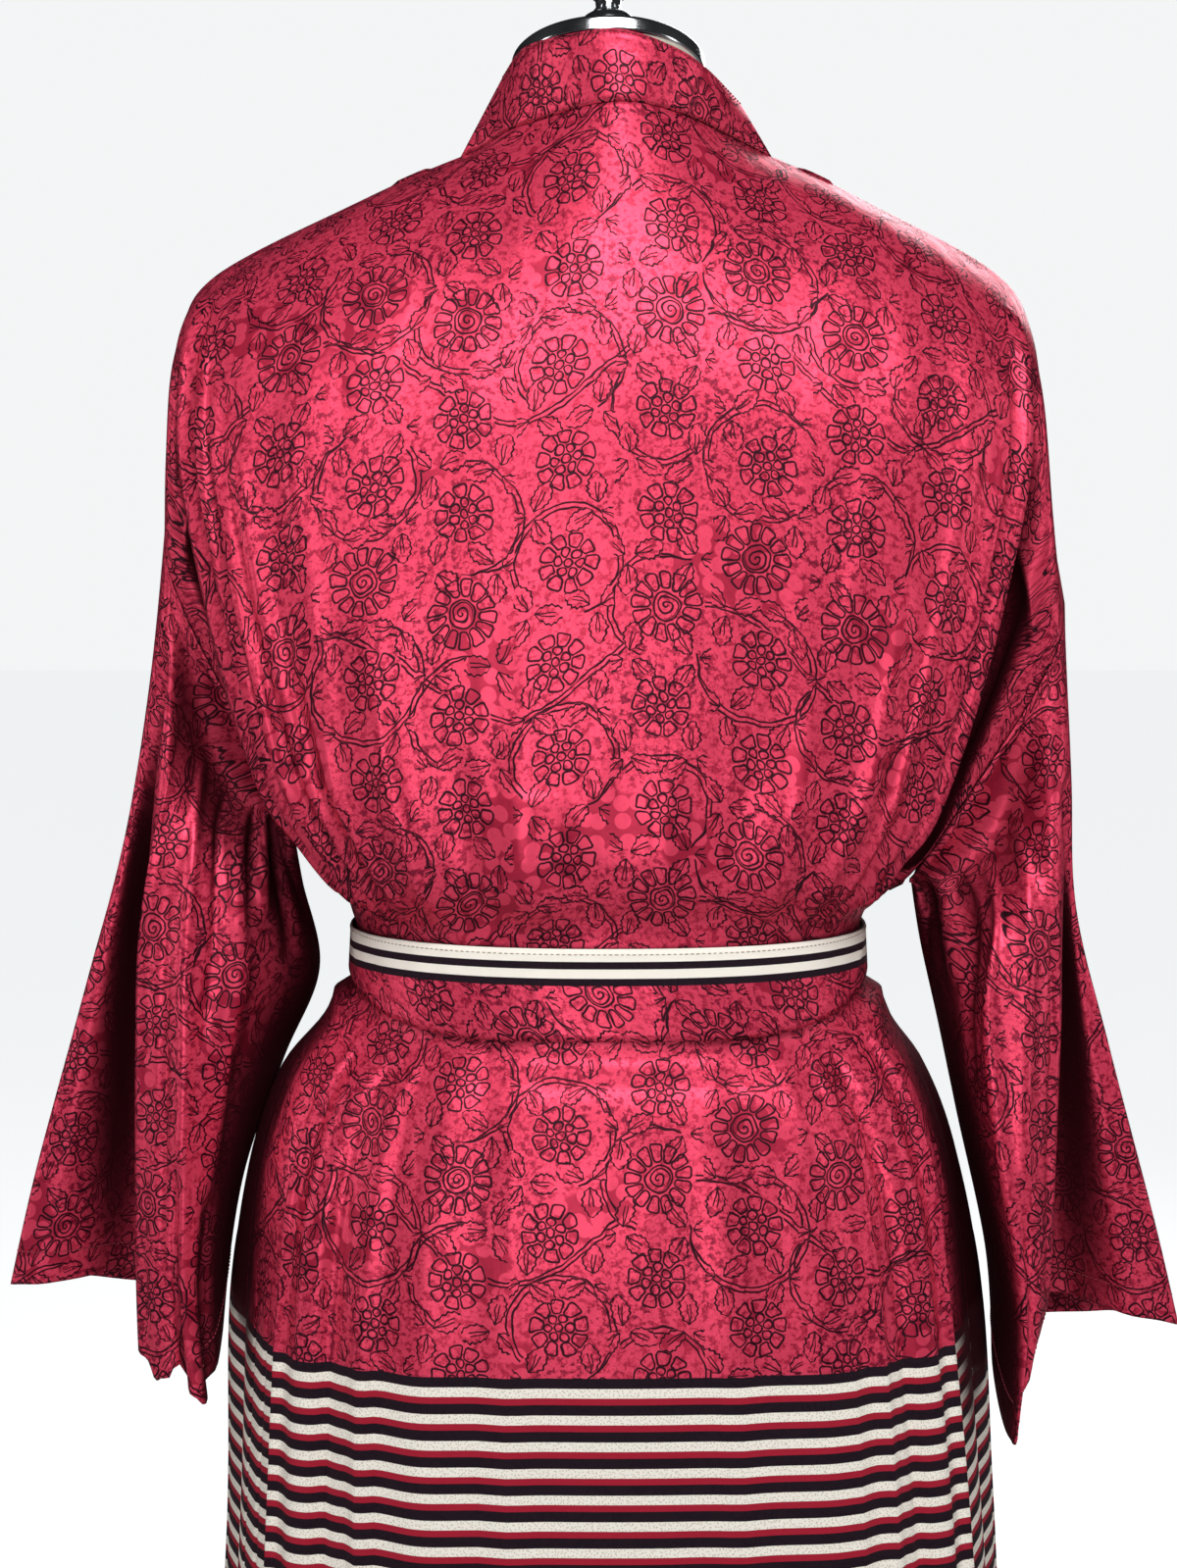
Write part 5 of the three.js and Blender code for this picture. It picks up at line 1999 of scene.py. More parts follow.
class PrintGround(Effect):
    """The print's mottled ground, as a tone from 0, dark, to 1, bright."""

    def draw(self, graph: Graph, given: dict) -> dict:
        """See Effect.

        Args:
            graph: the group's tree.
            given: the inputs as signals.

        Returns:
            The outputs by name.
        """
        flat = given["Flat"]
        sponge = graph.noise(flat, 0.24, 5.0, 0.68).step(0.50, 0.57)
        fine = graph.noise(graph.shifted(flat, place=(19, 57, 0)), 0.55, 3.0, 0.6)
        cloud = graph.noise(graph.shifted(flat, place=(71, 13, 0)), 0.016, 2.0).step(0.36, 0.66)
        where = graph.noise(graph.shifted(flat, place=(311, 97, 0)), 0.015, 1.0)
        tone = 0.98 - sponge * (cloud * 0.36 + 0.34) - fine.step(0.42, 0.60) * 0.22
        rings = graph.cells(graph.shifted(flat, place=(5, 9, 0)), 0.17, 0.85) - 0.36
        rings = rings.absolute().step(0.03, 0.10, 1.0, 0.0)
        tone = tone - rings * where.step(0.54, 0.46) * 0.22
        pebble = graph.cells(flat, 0.105, 0.8).step(0.40, 0.46, 1.0, 0.0)
        tone = tone + (pebble * 0.52 + 0.34 - tone) * where.step(0.585, 0.625) * 0.85
        return {"Tone": tone}


class StripeRun(Effect):
    """Woven stripes counted down from an upper edge: black, cream and red, over and over."""

    def draw(self, graph: Graph, given: dict) -> dict:
        """See Effect.

        Args:
            graph: the group's tree.
            given: the inputs as signals.

        Returns:
            The outputs by name.
        """
        share = (given["Depth"] / 13.3).fraction()
        cream = share.step(0.375, 0.39) * share.step(0.735, 0.75, 1.0, 0.0)
        red = share.step(0.735, 0.75) * share.step(0.985, 1.0, 1.0, 0.0)
        specks = graph.cells(given["Flat"], 0.62, 0.9).step(0.16, 0.26, 1.0, 0.0)
        return {"Cream": cream, "Red": red, "Specks": specks}


class SatinRelief(Effect):
    """Soft creases and a fine grain as a height in millimetres."""

    def draw(self, graph: Graph, given: dict) -> dict:
        """See Effect.

        Args:
            graph: the group's tree.
            given: the inputs as signals.

        Returns:
            The outputs by name.
        """
        flat = given["Flat"]
        long = graph.noise(graph.shifted(flat, (1.0, 0.22, 1.0)), 0.045, 2.0, 0.5)
        slant = graph.noise(graph.shifted(flat, (0.7, 0.5, 1.0), (40, 8, 0)), 0.05, 3.0, 0.45)
        grain = graph.noise(graph.shifted(flat, (1.0, 0.45, 1.0)), 1.1, 2.0, 0.6)
        return {"Height": long * 1.6 + slant * 1.0 + grain * 0.05, "Grain": grain}


# --- Finishes -----------------------------------------------------------------------------------


class Pattern(Enum):
    """Where a satin piece shows woven stripes beside its print."""

    PRINT_ONLY = "print only"
    BELOW_HIPS = "stripes below the hips"
    ALONG_EDGE = "stripes along one edge"


@dataclass(frozen=True)
class Effects:
    """The shader groups that the finishes share."""

    place: Effect
    lines: Effect
    ground: Effect
    stripes: Effect
    relief: Effect

    @classmethod
    def build(cls) -> Effects:
        """Makes each group once.

        Returns:
            The groups.
        """
        flat = {"Flat": VECTOR}
        return cls(
            place=ClothPlace("cloth place", {}, {"Flat": VECTOR, "Drawn": VECTOR}),
            lines=PrintLines("print lines", {"Drawn": VECTOR}, {"Lines": FLOAT}),
            ground=PrintGround("print ground", flat, {"Tone": FLOAT}),
            stripes=StripeRun(
                "stripe run",
                flat | {"Depth": FLOAT},
                {"Cream": FLOAT, "Red": FLOAT, "Specks": FLOAT},
            ),
            relief=SatinRelief("satin relief", flat, {"Height": FLOAT, "Grain": FLOAT}),
        )


def shaded(name: str, **values: float | tuple) -> tuple[bpy.types.Material, Graph, bpy.types.Node]:
    """A node material with its Principled BSDF.

    Args:
        name: the material's name.
        **values: the shader's own plain values, by socket name with underscores for spaces.

    Returns:
        The material, its graph and the shader node.
    """
    material = bpy.data.materials.new(name)
    material.use_nodes = True
    shader = material.node_tree.nodes["Principled BSDF"]
    for socket, value in values.items():
        shader.inputs[socket.replace("_", " ")].default_value = value
    return material, Graph(material.node_tree), shader


def bumped(graph: Graph, shader: bpy.types.Node, height: Signal, distance: float) -> None:
    """Feeds a height to the shader's normal.

    Args:
        graph: the material's nodes.
        shader: its Principled BSDF.
        height: the height.
        distance: how many metres a height of 1 is.
    """
    node = graph.node("ShaderNodeBump", {"Height": height, "Strength": 1.0, "Distance": distance})
    graph.feed(shader.inputs["Normal"], Signal(graph, node.outputs[0]))


def rgb(red: float, green: float, blue: float) -> tuple:
    """A linear colour with full alpha."""
    return (red, green, blue, 1.0)


SHEEN = 0.4  # the metallic share of the printed satin
POLISH = 0.4  # its specular level, stripes included
PAINTED_SHADE_REACH = 0.10  # how far off other cloth may lie and still darken a fold's bottom with painted shade, in metres


@dataclass(frozen=True)
class Satin:
    """Printed polyester satin.

    Attributes:
        name: the material's name.
        pattern: where it shows stripes.
        dark: the ground's darkest tone.
        middle: its middle tone.
        bright: its brightest tone.
        line: the drawn lines.
        deep: painted shade, the near-black colour that the cloth is blended to at the bottom of
            deep folds and pockets.
        cream: the pale stripes.
        black: the dark stripes.
        red: the red stripes.
    """

    name: str
    pattern: Pattern
    dark: tuple = rgb(0.17, 0.009, 0.030)
    middle: tuple = rgb(0.46, 0.020, 0.055)
    bright: tuple = rgb(0.76, 0.058, 0.122)
    line: tuple = rgb(0.008, 0.002, 0.006)
    # deep is painted shade, blended in where ambient occlusion finds folds and pockets
    deep: tuple = rgb(0.035, 0.001, 0.004)
    cream: tuple = rgb(0.90, 0.86, 0.77)
    black: tuple = rgb(0.005, 0.005, 0.009)
    red: tuple = rgb(0.36, 0.012, 0.030)

    def build(self, effects: Effects) -> bpy.types.Material:
        """Makes the material.

        Args:
            effects: the shared groups.

        Returns:
            The material.
        """
        tint = rgb(1.0, 0.45, 0.55)
        material, graph, shader = shaded(
            self.name, Specular_Tint=tint, Specular_IOR_Level=POLISH, Metallic=SHEEN
        )
        place = effects.place.use(graph)
        lines = effects.lines.use(graph, Drawn=place["Drawn"])["Lines"]
        tone = effects.ground.use(graph, Flat=place["Flat"])["Tone"]
        relief = effects.relief.use(graph, Flat=place["Flat"])
        colour = graph.blend(tone.step(0.0, 0.55), self.dark, self.middle)
        colour = graph.blend(tone.step(0.40, 0.95), colour, self.bright)
        colour = graph.blend(lines * 0.98, colour, self.line)
        gloss = relief["Grain"] * 0.12 + 0.34 + lines * 0.10
        if self.pattern is not Pattern.PRINT_ONLY:
            share, weave = self.striped(graph, effects, place["Flat"])
            colour = graph.blend(share, colour, weave)
            gloss = gloss + share * 0.5
            graph.feed(shader.inputs["Metallic"], SHEEN - share * SHEEN)
        # Painted shade: ambient occlusion blends the base colour towards the near-black deep colour
        # in folds, pockets and gaps, and roughens the gloss there.
        painted_shade_occlusion = graph.node("ShaderNodeAmbientOcclusion", {"Distance": PAINTED_SHADE_REACH}, samples=8)
        shown = Signal(graph, painted_shade_occlusion.outputs["AO"]).step(0.24, 0.68)
        graph.feed(shader.inputs["Base Color"], graph.blend(shown, self.deep, colour))
        graph.feed(shader.inputs["Roughness"], gloss + 0.4 - shown * 0.4)
        bumped(graph, shader, relief["Height"], MM)
        return material

    def striped(self, graph: Graph, effects: Effects, flat: Signal) -> tuple[Signal, Signal]:
        """Draws the woven stripes.

        Args:
            graph: the material's nodes.
            effects: the shared groups.
            flat: the place on the flat cloth.

        Returns:
            How much of the cloth is striped here, and the stripes' colour.
        """
        depth = graph.split(flat)[1] * -1.0
        if self.pattern is Pattern.BELOW_HIPS:
            run = effects.stripes.use(graph, Flat=flat, Depth=depth)
            speckled = graph.blend(run["Specks"] * 0.55, self.cream, rgb(0.36, 0.27, 0.19))
            weave = graph.blend(run["Cream"], self.black, speckled)
            weave = graph.blend(run["Red"], weave, self.red)
            share = depth.step(-0.15, 0.15)
        else:
            upper = depth.step(6.3, 6.5, 1.0, 0.0)
            lower = depth.step(10.0, 10.2) * depth.step(14.6, 14.8, 1.0, 0.0)
            weave = graph.blend(upper + lower, self.black, self.cream)
            share = depth.step(18.3, 18.5, 1.0, 0.0)
        return share, weave


@dataclass(frozen=True)
class Linen:
    """Plain-woven linen, as on the form."""

    name: str = "form linen"

    def build(self) -> bpy.types.Material:
        """Makes the material.

        Returns:
            The material.
        """
        material, graph, shader = shaded(self.name, Roughness=0.86, Sheen_Weight=0.15)
        place = Signal(graph, graph.node("ShaderNodeTexCoord").outputs["Object"])
        flat = graph.shifted(place, (1000, 1000, 1000))
        _, _, z = graph.split(flat)
        around = Signal(graph, graph.node("ShaderNodeUVMap", uv_map="cloth").outputs[0])
        u, _, _ = graph.split(graph.shifted(around, (1000, 1000, 1000)))
        warp = (u * (TURN / 1.3)).apply("SINE")
        weft = (z * (TURN / 1.3)).apply("SINE")
        slub = graph.noise(graph.shifted(flat, (0.4, 0.4, 3.0)), 0.5, 3.0)
        weave = warp * weft * 0.5 + slub
        colour = graph.blend(weave.step(0.0, 1.2), rgb(0.42, 0.37, 0.30), rgb(0.66, 0.60, 0.50))
        graph.feed(shader.inputs["Base Color"], colour)
        bumped(graph, shader, weave, 0.12 * MM)
        return material


@dataclass(frozen=True)
class Metal:
    """Polished or brushed metal.

    Attributes:
        name: the material's name.
        colour: its reflection's colour.
        rough: its roughness between the marks.
    """

    name: str
    colour: tuple
    rough: float

    def build(self) -> bpy.types.Material:
        """Makes the material.

        Returns:
            The material.
        """
        material, graph, shader = shaded(self.name, Metallic=1.0, Base_Color=self.colour)
        place = Signal(graph, graph.node("ShaderNodeTexCoord").outputs["Object"])
        smear = graph.noise(place, 34.0, 4.0, 0.6)
        ring = graph.noise(graph.shifted(place, (60, 60, 900)), 1.0, 3.0)
        tint = graph.blend(smear.step(0.3, 0.8), self.colour, tuple(c * 0.84 for c in self.colour))
        graph.feed(shader.inputs["Base Color"], tint)
        graph.feed(shader.inputs["Roughness"], smear * 0.10 + ring * 0.08 + self.rough)
        bumped(graph, shader, ring, 0.02 * MM)
        return material


@dataclass(frozen=True)
class PowderCoat:
    """Fine-grained black powder coat, a little worn."""

    name: str = "black powder coat"

    def build(self) -> bpy.types.Material:
        """Makes the material.

        Returns:
            The material.
        """
        material, graph, shader = shaded(self.name, Specular_IOR_Level=0.45)
        place = Signal(graph, graph.node("ShaderNodeTexCoord").outputs["Object"])
        grain = graph.noise(place, 1400.0, 2.0)
        worn = graph.noise(place, 26.0, 5.0, 0.65)
        coat, rubbed = rgb(0.012, 0.012, 0.013), rgb(0.045, 0.044, 0.042)
        colour = graph.blend(worn.step(0.45, 0.8), coat, rubbed)
        graph.feed(shader.inputs["Base Color"], colour)
        graph.feed(shader.inputs["Roughness"], worn * 0.25 + 0.36)
        bumped(graph, shader, grain, 0.08 * MM)
        return material


@dataclass(frozen=True)
class Thread:
    """Twisted sewing thread.

    Attributes:
        name: the material's name.
        colour: its darker tone.
        light: its lighter tone.
    """

    name: str
    colour: tuple
    light: tuple

    def build(self) -> bpy.types.Material:
        """Makes the material.

        Returns:
            The material.
        """
        material, graph, shader = shaded(self.name, Roughness=0.55, Sheen_Weight=0.2)
        place = Signal(graph, graph.node("ShaderNodeTexCoord").outputs["Object"])
        strand = graph.noise(graph.shifted(place, (1000, 1000, 1000)), 2.6, 2.0)
        colour = graph.blend(strand.step(0.35, 0.65), self.colour, self.light)
        graph.feed(shader.inputs["Base Color"], colour)
        bumped(graph, shader, strand, 0.1 * MM)
        return material


# --- Sewing -------------------------------------------------------------------------------------


@dataclass
class StitchMaker:
    """Geometry Nodes that lay stitches along a line.

    Attributes:
        spacing: from one stitch to the next, in metres.
        length: length of a stitch, in metres.
        width: width of a stitch, in metres.
    """

    spacing: float = 2.9 * MM
    length: float = 2.1 * MM
    width: float = 0.6 * MM
    tree: bpy.types.NodeTree = field(init=False)

    def __post_init__(self) -> None:
        """Builds the tree."""
        tree = self.tree = bpy.data.node_groups.new("stitch run", "GeometryNodeTree")
        tree.interface.new_socket("Line", in_out="INPUT", socket_type="NodeSocketGeometry")
        for name in ("Spacing", "Length", "Width"):
            tree.interface.new_socket(name, in_out="INPUT", socket_type="NodeSocketFloat")
        tree.interface.new_socket("Seed", in_out="INPUT", socket_type="NodeSocketInt")
        tree.interface.new_socket("Thread", in_out="INPUT", socket_type="NodeSocketMaterial")
        tree.interface.new_socket("Stitches", in_out="OUTPUT", socket_type="NodeSocketGeometry")
        graph = Graph(tree)
        given = graph.node("NodeGroupInput").outputs

        def take(name: str) -> Signal:
            """One of the tree's inputs."""
            return Signal(graph, given[name])

        line = graph.node("GeometryNodeMeshToCurve", {"Mesh": take("Line")})
        run = graph.node(
            "GeometryNodeCurveToPoints",
            {"Curve": Signal(graph, line.outputs[0]), "Length": take("Spacing")},
            mode="LENGTH",
        )
        varied = graph.node(
            "FunctionNodeRandomValue", {"Seed": take("Seed"), 2: 0.88, 3: 1.1}, data_type="FLOAT"
        )
        stitch = graph.node("GeometryNodeMeshUVSphere", {"Segments": 6, "Rings": 5, "Radius": 0.5})
        turned = graph.node(
            "FunctionNodeAlignRotationToVector", {"Vector": Signal(graph, run.outputs["Tangent"])}
        )
        long = graph.math("MULTIPLY", take("Length"), Signal(graph, varied.outputs[1]))
        placed_ = graph.node(
            "GeometryNodeInstanceOnPoints",
            {
                "Points": Signal(graph, run.outputs["Points"]),
                "Instance": Signal(graph, stitch.outputs["Mesh"]),
                "Rotation": Signal(graph, turned.outputs[0]),
                "Scale": graph.vector(take("Width"), take("Width"), long),
            },
        )
        real = graph.node("GeometryNodeRealizeInstances", {0: Signal(graph, placed_.outputs[0])})
        dressed = graph.node(
            "GeometryNodeSetMaterial",
            {"Geometry": Signal(graph, real.outputs[0]), "Material": take("Thread")},
        )
        leave = graph.node("NodeGroupOutput")
        graph.feed(leave.inputs["Stitches"], Signal(graph, dressed.outputs[0]))

    def sew(
        self, name: str, lines: list[np.ndarray], piece: Piece, thread: bpy.types.Material
    ) -> bpy.types.Object:
        """Lays stitches along lines and turns them into a plain mesh.

        Args:
            name: the stitches' name.
            lines: rows of points in millimetres.
            piece: the piece that they are sewn on; not used.
            thread: the thread's material.

        Returns:
            The stitches, riding with the rest.
        """
        mesh = bpy.data.meshes.new(name + " line")
        edges, start = [], 0
        for line in lines:
            edges += [(start + k, start + k + 1) for k in range(len(line) - 1)]
            start += len(line)
        mesh.from_pydata((np.concatenate(lines) * MM).tolist(), edges, [])
        carrier = add_object(name + " line", mesh)
        modifier = carrier.modifiers.new("stitches", "NODES")
        modifier.node_group = self.tree
        values = {"Spacing": self.spacing, "Length": self.length, "Width": self.width}
        values |= {"Seed": 7, "Thread": thread}
        for item in self.tree.interface.items_tree:
            if item.in_out == "INPUT" and item.name in values:
                modifier[item.identifier] = values[item.name]
        seen = carrier.evaluated_get(bpy.context.evaluated_depsgraph_get())
        made = add_object(name, bpy.data.meshes.new_from_object(seen))
        bpy.data.objects.remove(carrier)
        made.data.shade_smooth()
        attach(made, "root")
        LOG.info("%s: %d faces", name, len(made.data.polygons))
        return made


def seam_line(
    sheet: Sheet, row: float | None = None, column: float | None = None, lift: float = 0.12
) -> np.ndarray:
    """A line on a sheet's outer face along a fractional row or column.

    Args:
        sheet: the sheet.
        row: the row that it follows, or
        column: the column that it follows.
        lift: how far it lies proud of the cloth, in millimetres.

    Returns:
        The line's points; along a loop's row it closes.
    """
    raised = sheet.points + sheet.normals * lift
    if row is not None:
        line = along(raised, np.array([row]))[0]
        return np.concatenate([line, line[:1]]) if sheet.loop else line
    return along(np.swapaxes(raised, 0, 1), np.array([column]))[0]


# --- Stage, light and camera --------------------------------------------------------------------


@dataclass
class Studio:
    """A plain pale floor, soft light and the camera.

    Attributes:
        lens: focal length in millimetres on a 36 mm sensor.
        eye: the camera's place, in metres.
        dip: how far the camera looks down, in degrees.
    """

    lens: float = 56.73
    eye: tuple = (0.0104, 1.315, 1.221)
    dip: float = 4.87

    def floor(self) -> None:
        """A wide pale floor that glows a little, as a lit sweep does."""
        corners = [(-30000, -30000, 0), (30000, -30000, 0), (30000, 30000, 0), (-30000, 30000, 0)]
        made = add_object("floor", mesh_from("floor", np.array(corners, float), [(0, 1, 2, 3)]))
        material, graph, shader = shaded(
            "pale floor", Roughness=0.8, Emission_Color=rgb(0.97, 0.99, 1.0)
        )
        shown = Signal(graph, graph.node("ShaderNodeLightPath").outputs["Is Camera Ray"])
        graph.feed(shader.inputs["Emission Strength"], shown * 0.84 + 0.04)
        place = Signal(graph, graph.node("ShaderNodeTexCoord").outputs["Object"])
        mottle = graph.noise(place, 3.0, 3.0)
        graph.feed(
            shader.inputs["Base Color"],
            graph.blend(mottle, rgb(0.50, 0.505, 0.51), rgb(0.56, 0.56, 0.555)),
        )
        made.data.materials.append(material)
        made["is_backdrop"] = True

    def surroundings(self) -> None:
        """Pale surroundings, dimmer behind the camera and overhead, where gloss needs contrast."""
        scene = bpy.context.scene
        scene.view_settings.view_transform = "Standard"
        world = bpy.data.worlds.new("studio")
        scene.world = world
        world.use_nodes = True
        graph = Graph(world.node_tree)
        _, y, z = graph.split(Signal(graph, graph.node("ShaderNodeTexCoord").outputs["Generated"]))
        side = y.absolute().step(0.1, 0.8, 1.0, 0.25) * z.step(0.2, 0.8, 1.0, 0.5)
        shown = Signal(graph, graph.node("ShaderNodeLightPath").outputs["Is Camera Ray"])
        glow = graph.blend(side, rgb(0.008, 0.008, 0.009), rgb(0.04, 0.041, 0.042))
        colour = graph.blend(shown, glow, rgb(0.90, 0.915, 0.92))
        background = world.node_tree.nodes["Background"]
        graph.feed(background.inputs["Color"], colour)

    def lamp(
        self, name: str, place: tuple, aim: tuple, size: tuple, power: float, spread: float = 180
    ) -> None:
        """Adds a soft rectangular light.

        Args:
            name: its name.
            place: where it is, in metres.
            aim: the point that it faces.
            size: width and height, in metres.
            power: in watts.
            spread: the angle that its light is kept in, in degrees.
        """
        data = bpy.data.lights.new(name, "AREA")
        data.shape, data.size, data.size_y = "RECTANGLE", *size
        data.energy, data.spread = power, math.radians(spread)
        made = add_object(name, data)
        made.location = place
        made.rotation_euler = (Vector(aim) - Vector(place)).to_track_quat("-Z", "Y").to_euler()

    def lights(self) -> None:
        """The key over the camera, a low one below it, a fill on each side and a front light."""
        self.lamp("key light", (-0.15, 1.6, 2.65), (0, 0.05, 1.1), (1.6, 1.0), 45)
        self.lamp("low light", (0.2, 2.4, 1.1), (0, 0, 0.9), (0.6, 0.5), 12)
        self.lamp("back light", (0.75, 2.1, 2.1), (0.07, 0.12, 1.32), (0.3, 0.3), 0.05, spread=14)
        self.lamp("left fill", (2.3, 0.5, 1.5), (0, 0, 1.0), (0.4, 1.6), 9)
        self.lamp("right fill", (-2.3, 0.6, 1.5), (0, 0, 1.0), (0.4, 1.6), 8)
        self.lamp("front light", (-1.0, -2.6, 2.4), (0, 0, 0.9), (1.2, 1.2), 30)

    def camera(self) -> None:
        """The camera behind the wearer's back."""
        data = bpy.data.cameras.new("camera")
        data.lens = self.lens
        made = add_object("camera", data)
        made.location = self.eye
        made.rotation_euler = (math.radians(90 - self.dip), 0, math.pi)
        bpy.context.scene.camera = made

    def build(self) -> None:
        """Makes all of it."""
        self.floor()
        self.surroundings()
        self.lights()
        self.camera()


# --- The whole ----------------------------------------------------------------------------------

CAP_PROFILE = ((0, 0), (49, 0), (50.5, 1.5), (50.5, 8), (49, 9.5), (38, 12), (24, 14), (0, 14))
KNOB_LOWER = ((0, 0), (20, 0), (20, 5), (16.5, 12), (14, 18), (9, 22), (6.5, 26))
KNOB_PROFILE = KNOB_LOWER + ((7, 31), (12, 36), (14, 43), (12, 50), (6, 55), (0, 56))
BASE_FOOT = ((0, 0), (175, 0), (175, 6), (170, 11), (60, 14))
BASE_PROFILE = BASE_FOOT + ((32, 22), (24, 38), (24, 54), (0, 54))
POLE_PROFILE = ((0, 0), (16, 0), (16, 661.4), (0, 661.4))
CAP_TILT = math.atan(0.3)
CAP_PLACE = (0.0, 1.0, 1477.69)
KNOB_LIFT = 14.3


# Creases in the sash: angle in degrees from the wearer's left towards the back, how far each
# slants over the sash's width, its width in degrees and its height in millimetres.
SASH_CREASES = (
    (22, 16, 2.4, 0.7),
    (34, 20, 2.0, -0.6),
    (52, 10, 3.0, 0.5),
    (78, -8, 2.6, 0.4),
    (97, 6, 2.2, -0.4),
    (118, -10, 2.8, 0.5),
    (141, -16, 2.2, -0.6),
    (156, -20, 2.4, 0.8),
    (205, 14, 3.2, 0.6),
    (322, -12, 3.0, 0.6),
)

# Folds along each sleeve: station round it, from, to, width, depth and end station.
SLEEVE_FOLDS = {
    Side.LEFT: (
        (0.8, 0.5, 7.0, 0.36, -30.0),
        (1.9, 0.9, 6.2, 0.12, 4.0, 1.9),
        (2.5, 0.4, 4.4, 0.13, 4.5, 2.72),
        (2.3, 1.6, 5.0, 0.09, -3.4, 2.45),
        (3.3, 0.2, 3.6, 0.12, 4.4, 3.1),
        (3.0, 0.3, 2.8, 0.10, -4.0, 2.85),
        (2.6, 3.4, 6.8, 0.13, -10.0, 2.55),
        (3.1, 3.6, 6.6, 0.12, -6.0, 3.2),
        (3.6, 0.1, 1.5, 0.10, 7.0, 3.4),
        (3.82, 0.0, 1.9, 0.08, -6.0, 3.6),
        (3.45, 0.4, 2.0, 0.07, -4.0, 3.2),
        (0.3, 2.0, 5.8, 0.16, 3.0),
        (-1.0, 0.6, 5.8, 0.3, 5.0),
        (-2.0, 0.8, 5.8, 0.3, -4.0),
    ),
    Side.RIGHT: (
        (0.8, 0.8, 7.0, 0.34, -24.0),
        (2.3, 0.5, 3.6, 0.16, 4.0, 2.6),
        (2.0, 1.2, 4.6, 0.10, -3.0, 2.2),
        (3.0, 0.4, 3.8, 0.14, 4.0, 2.8),
        (3.4, 0.2, 2.6, 0.10, -4.0, 3.2),
        (2.6, 3.2, 6.4, 0.12, -6.0, 2.6),
        (3.75, 0.1, 1.6, 0.09, 5.0, 3.5),
        (3.55, 0.1, 1.8, 0.07, -4.0, 3.3),
        (0.4, 2.2, 5.8, 0.16, 3.0),
        (-1.0, 0.6, 5.8, 0.3, 5.0),
        (-2.0, 0.8, 5.8, 0.3, -4.0),
    ),
}


# How the cuffs' lower edge hangs, written in the same way.
CUFF_DIPS = {
    Side.LEFT: (
        (2.2, 4.2, 7.8, 0.13, 7.0),
        (2.5, 4.2, 7.8, 0.12, -14.0),
        (2.95, 4.2, 7.8, 0.2, 6.0),
    ),
    Side.RIGHT: ((2.3, 4.2, 7.8, 0.2, -5.0), (2.9, 4.2, 7.8, 0.16, 6.0)),
}


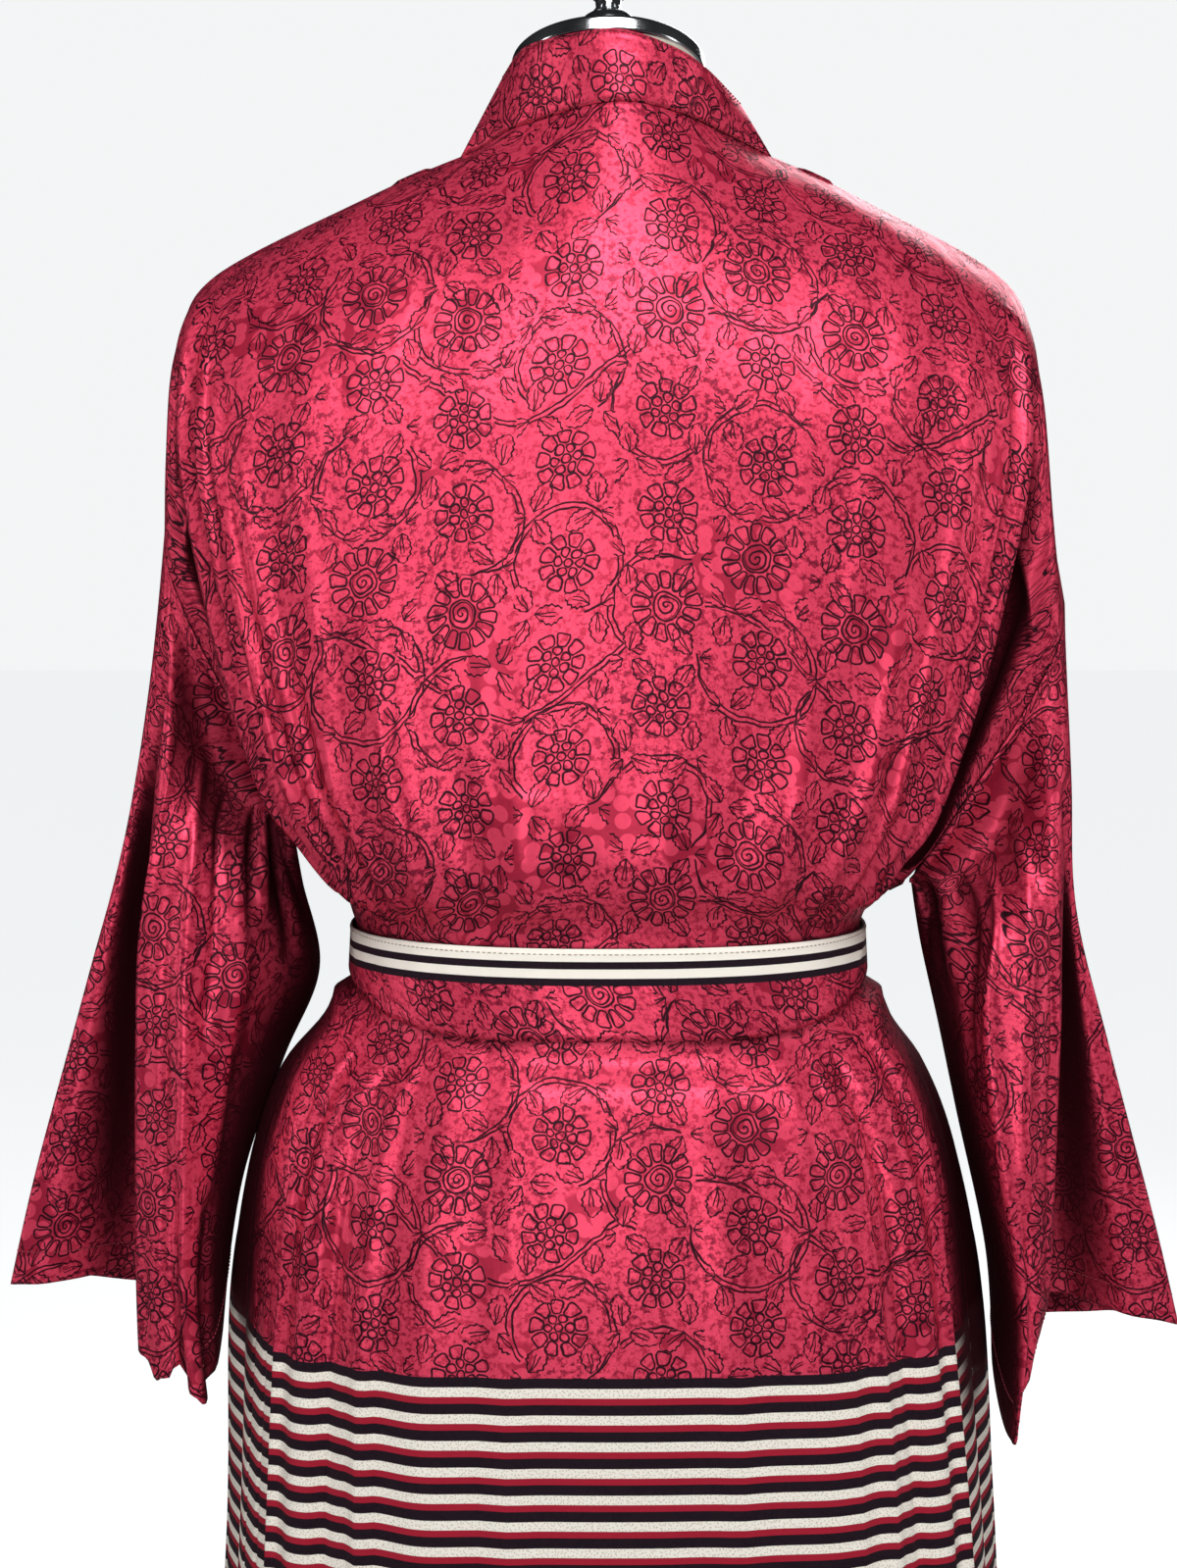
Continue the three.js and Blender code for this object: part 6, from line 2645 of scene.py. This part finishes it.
@dataclass
class Robe:
    """The robe: body, sleeves, neckband, sash and their sewing.

    Attributes:
        effects: the shader groups that its satins share.
        maker: what lays its stitches.
    """

    effects: Effects
    maker: StitchMaker

    def body(self) -> None:
        """Makes the back, the fronts, the sleeves and the neckband, with their seams."""
        body = Satin("robe satin", Pattern.BELOW_HIPS).build(self.effects)
        plain = Satin("sleeve satin", Pattern.PRINT_ONLY).build(self.effects)
        dark = Thread("crimson thread", rgb(0.20, 0.004, 0.018), rgb(0.38, 0.012, 0.04)).build()
        slot = "robe_satin"
        back = BackPanel("robe_back", "back_panel", slot, body, flat=(0.60, 1.24)).make()
        fronts = {}
        for side in Side:
            node = f"front_{side.word}"
            piece = FrontPanel(f"robe_{node}", node, slot, body, flat=(0.34, 1.2), side=side)
            fronts[side] = piece.make()
        for side in Side:
            node = f"sleeve_{side.word}"
            piece = Sleeve(f"robe_{node}", node, slot, plain, flat=(0.44, 0.30), side=side)
            piece.back, piece.front = back, fronts[side]
            piece.folds, piece.dips = SLEEVE_FOLDS[side], CUFF_DIPS[side]
            sheet = piece.make()
            row = len(sheet.points) - 1 - 5.5
            self.maker.sew(f"cuff_stitches_{side.word}", [seam_line(sheet, row=row)], piece, dark)
        band = Neckband("robe_neckband", "neckband", "band_satin", plain, flat=(0.042, 2.8))
        sheet = band.make()
        last = sheet.points.shape[1] - 1
        lines = [seam_line(sheet, column=0.35), seam_line(sheet, column=last - 0.35)]
        self.maker.sew("band_stitches", lines, band, dark)

    def sash(self) -> None:
        """Makes the sash with its knot and its two tails."""
        slot = "sash_satin"
        edged = Satin("sash satin", Pattern.ALONG_EDGE).build(self.effects)
        pale = Thread("cream thread", rgb(0.30, 0.24, 0.17), rgb(0.52, 0.44, 0.33)).build()
        waist = SashBand("sash_waist", "sash_band", slot, edged, flat=(0.046, 0.8))
        waist.creases = SASH_CREASES
        sheet = waist.make()
        self.maker.sew("sash_stitches", [seam_line(sheet, row=0.75)], waist, pale)
        SashKnot("sash_bow_knot", "sash_knot", slot, edged).make()
        upper = SashTail("sash_end_upper", "sash_tail_upper", slot, edged, flat=(0.044, 0.38))
        upper.lean, upper.lift, upper.length = -16, 9.5, TAIL_LENGTH - 20
        upper.make()
        under = SashTail("sash_end_under", "sash_tail_under", slot, edged, flat=(0.044, 0.4))
        under.lean = 22
        under.make()


@dataclass
class Stand:
    """The limbless form, its neck cap and the stand under it."""

    def build(self) -> None:
        """Makes every piece of the stand."""
        polished = Metal("polished cap", rgb(0.62, 0.63, 0.65), 0.06).build()
        brushed = Metal("brushed pole", rgb(0.56, 0.57, 0.58), 0.16).build()
        FormTorso("torso", "form_torso", "form_linen", Linen().build()).make()
        turn = np.array([0, -math.sin(CAP_TILT), math.cos(CAP_TILT)])
        knob_place = tuple(np.array(CAP_PLACE) + turn * KNOB_LIFT)
        cap = Turned("cap", "neck_cap", "cap_chrome", polished)
        cap.profile, cap.place, cap.tilt = CAP_PROFILE, CAP_PLACE, CAP_TILT
        cap.make()
        knob = Turned("cap_knob", "neck_knob", "cap_chrome", polished)
        knob.profile, knob.place, knob.tilt = KNOB_PROFILE, knob_place, CAP_TILT
        knob.make()
        base = Turned("base", "stand_base", "stand_black", PowderCoat().build())
        base.profile = BASE_PROFILE
        base.make()
        pole = Turned("pole", "stand_pole", "stand_chrome", brushed)
        pole.profile, pole.place = POLE_PROFILE, (0.0, 0.0, 54.3)
        pole.make()


def corners() -> list:
    """The shown object's box as plain lists."""
    return [list(corner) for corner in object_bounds()]


def main() -> None:
    """Builds the stage, the stand and the robe round the frame."""
    logging.basicConfig(level=logging.INFO, format="%(name)s: %(message)s")
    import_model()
    Studio().build()
    Stand().build()
    robe = Robe(Effects.build(), StitchMaker())
    robe.body()
    robe.sash()


if __name__ == "__main__":
    main()
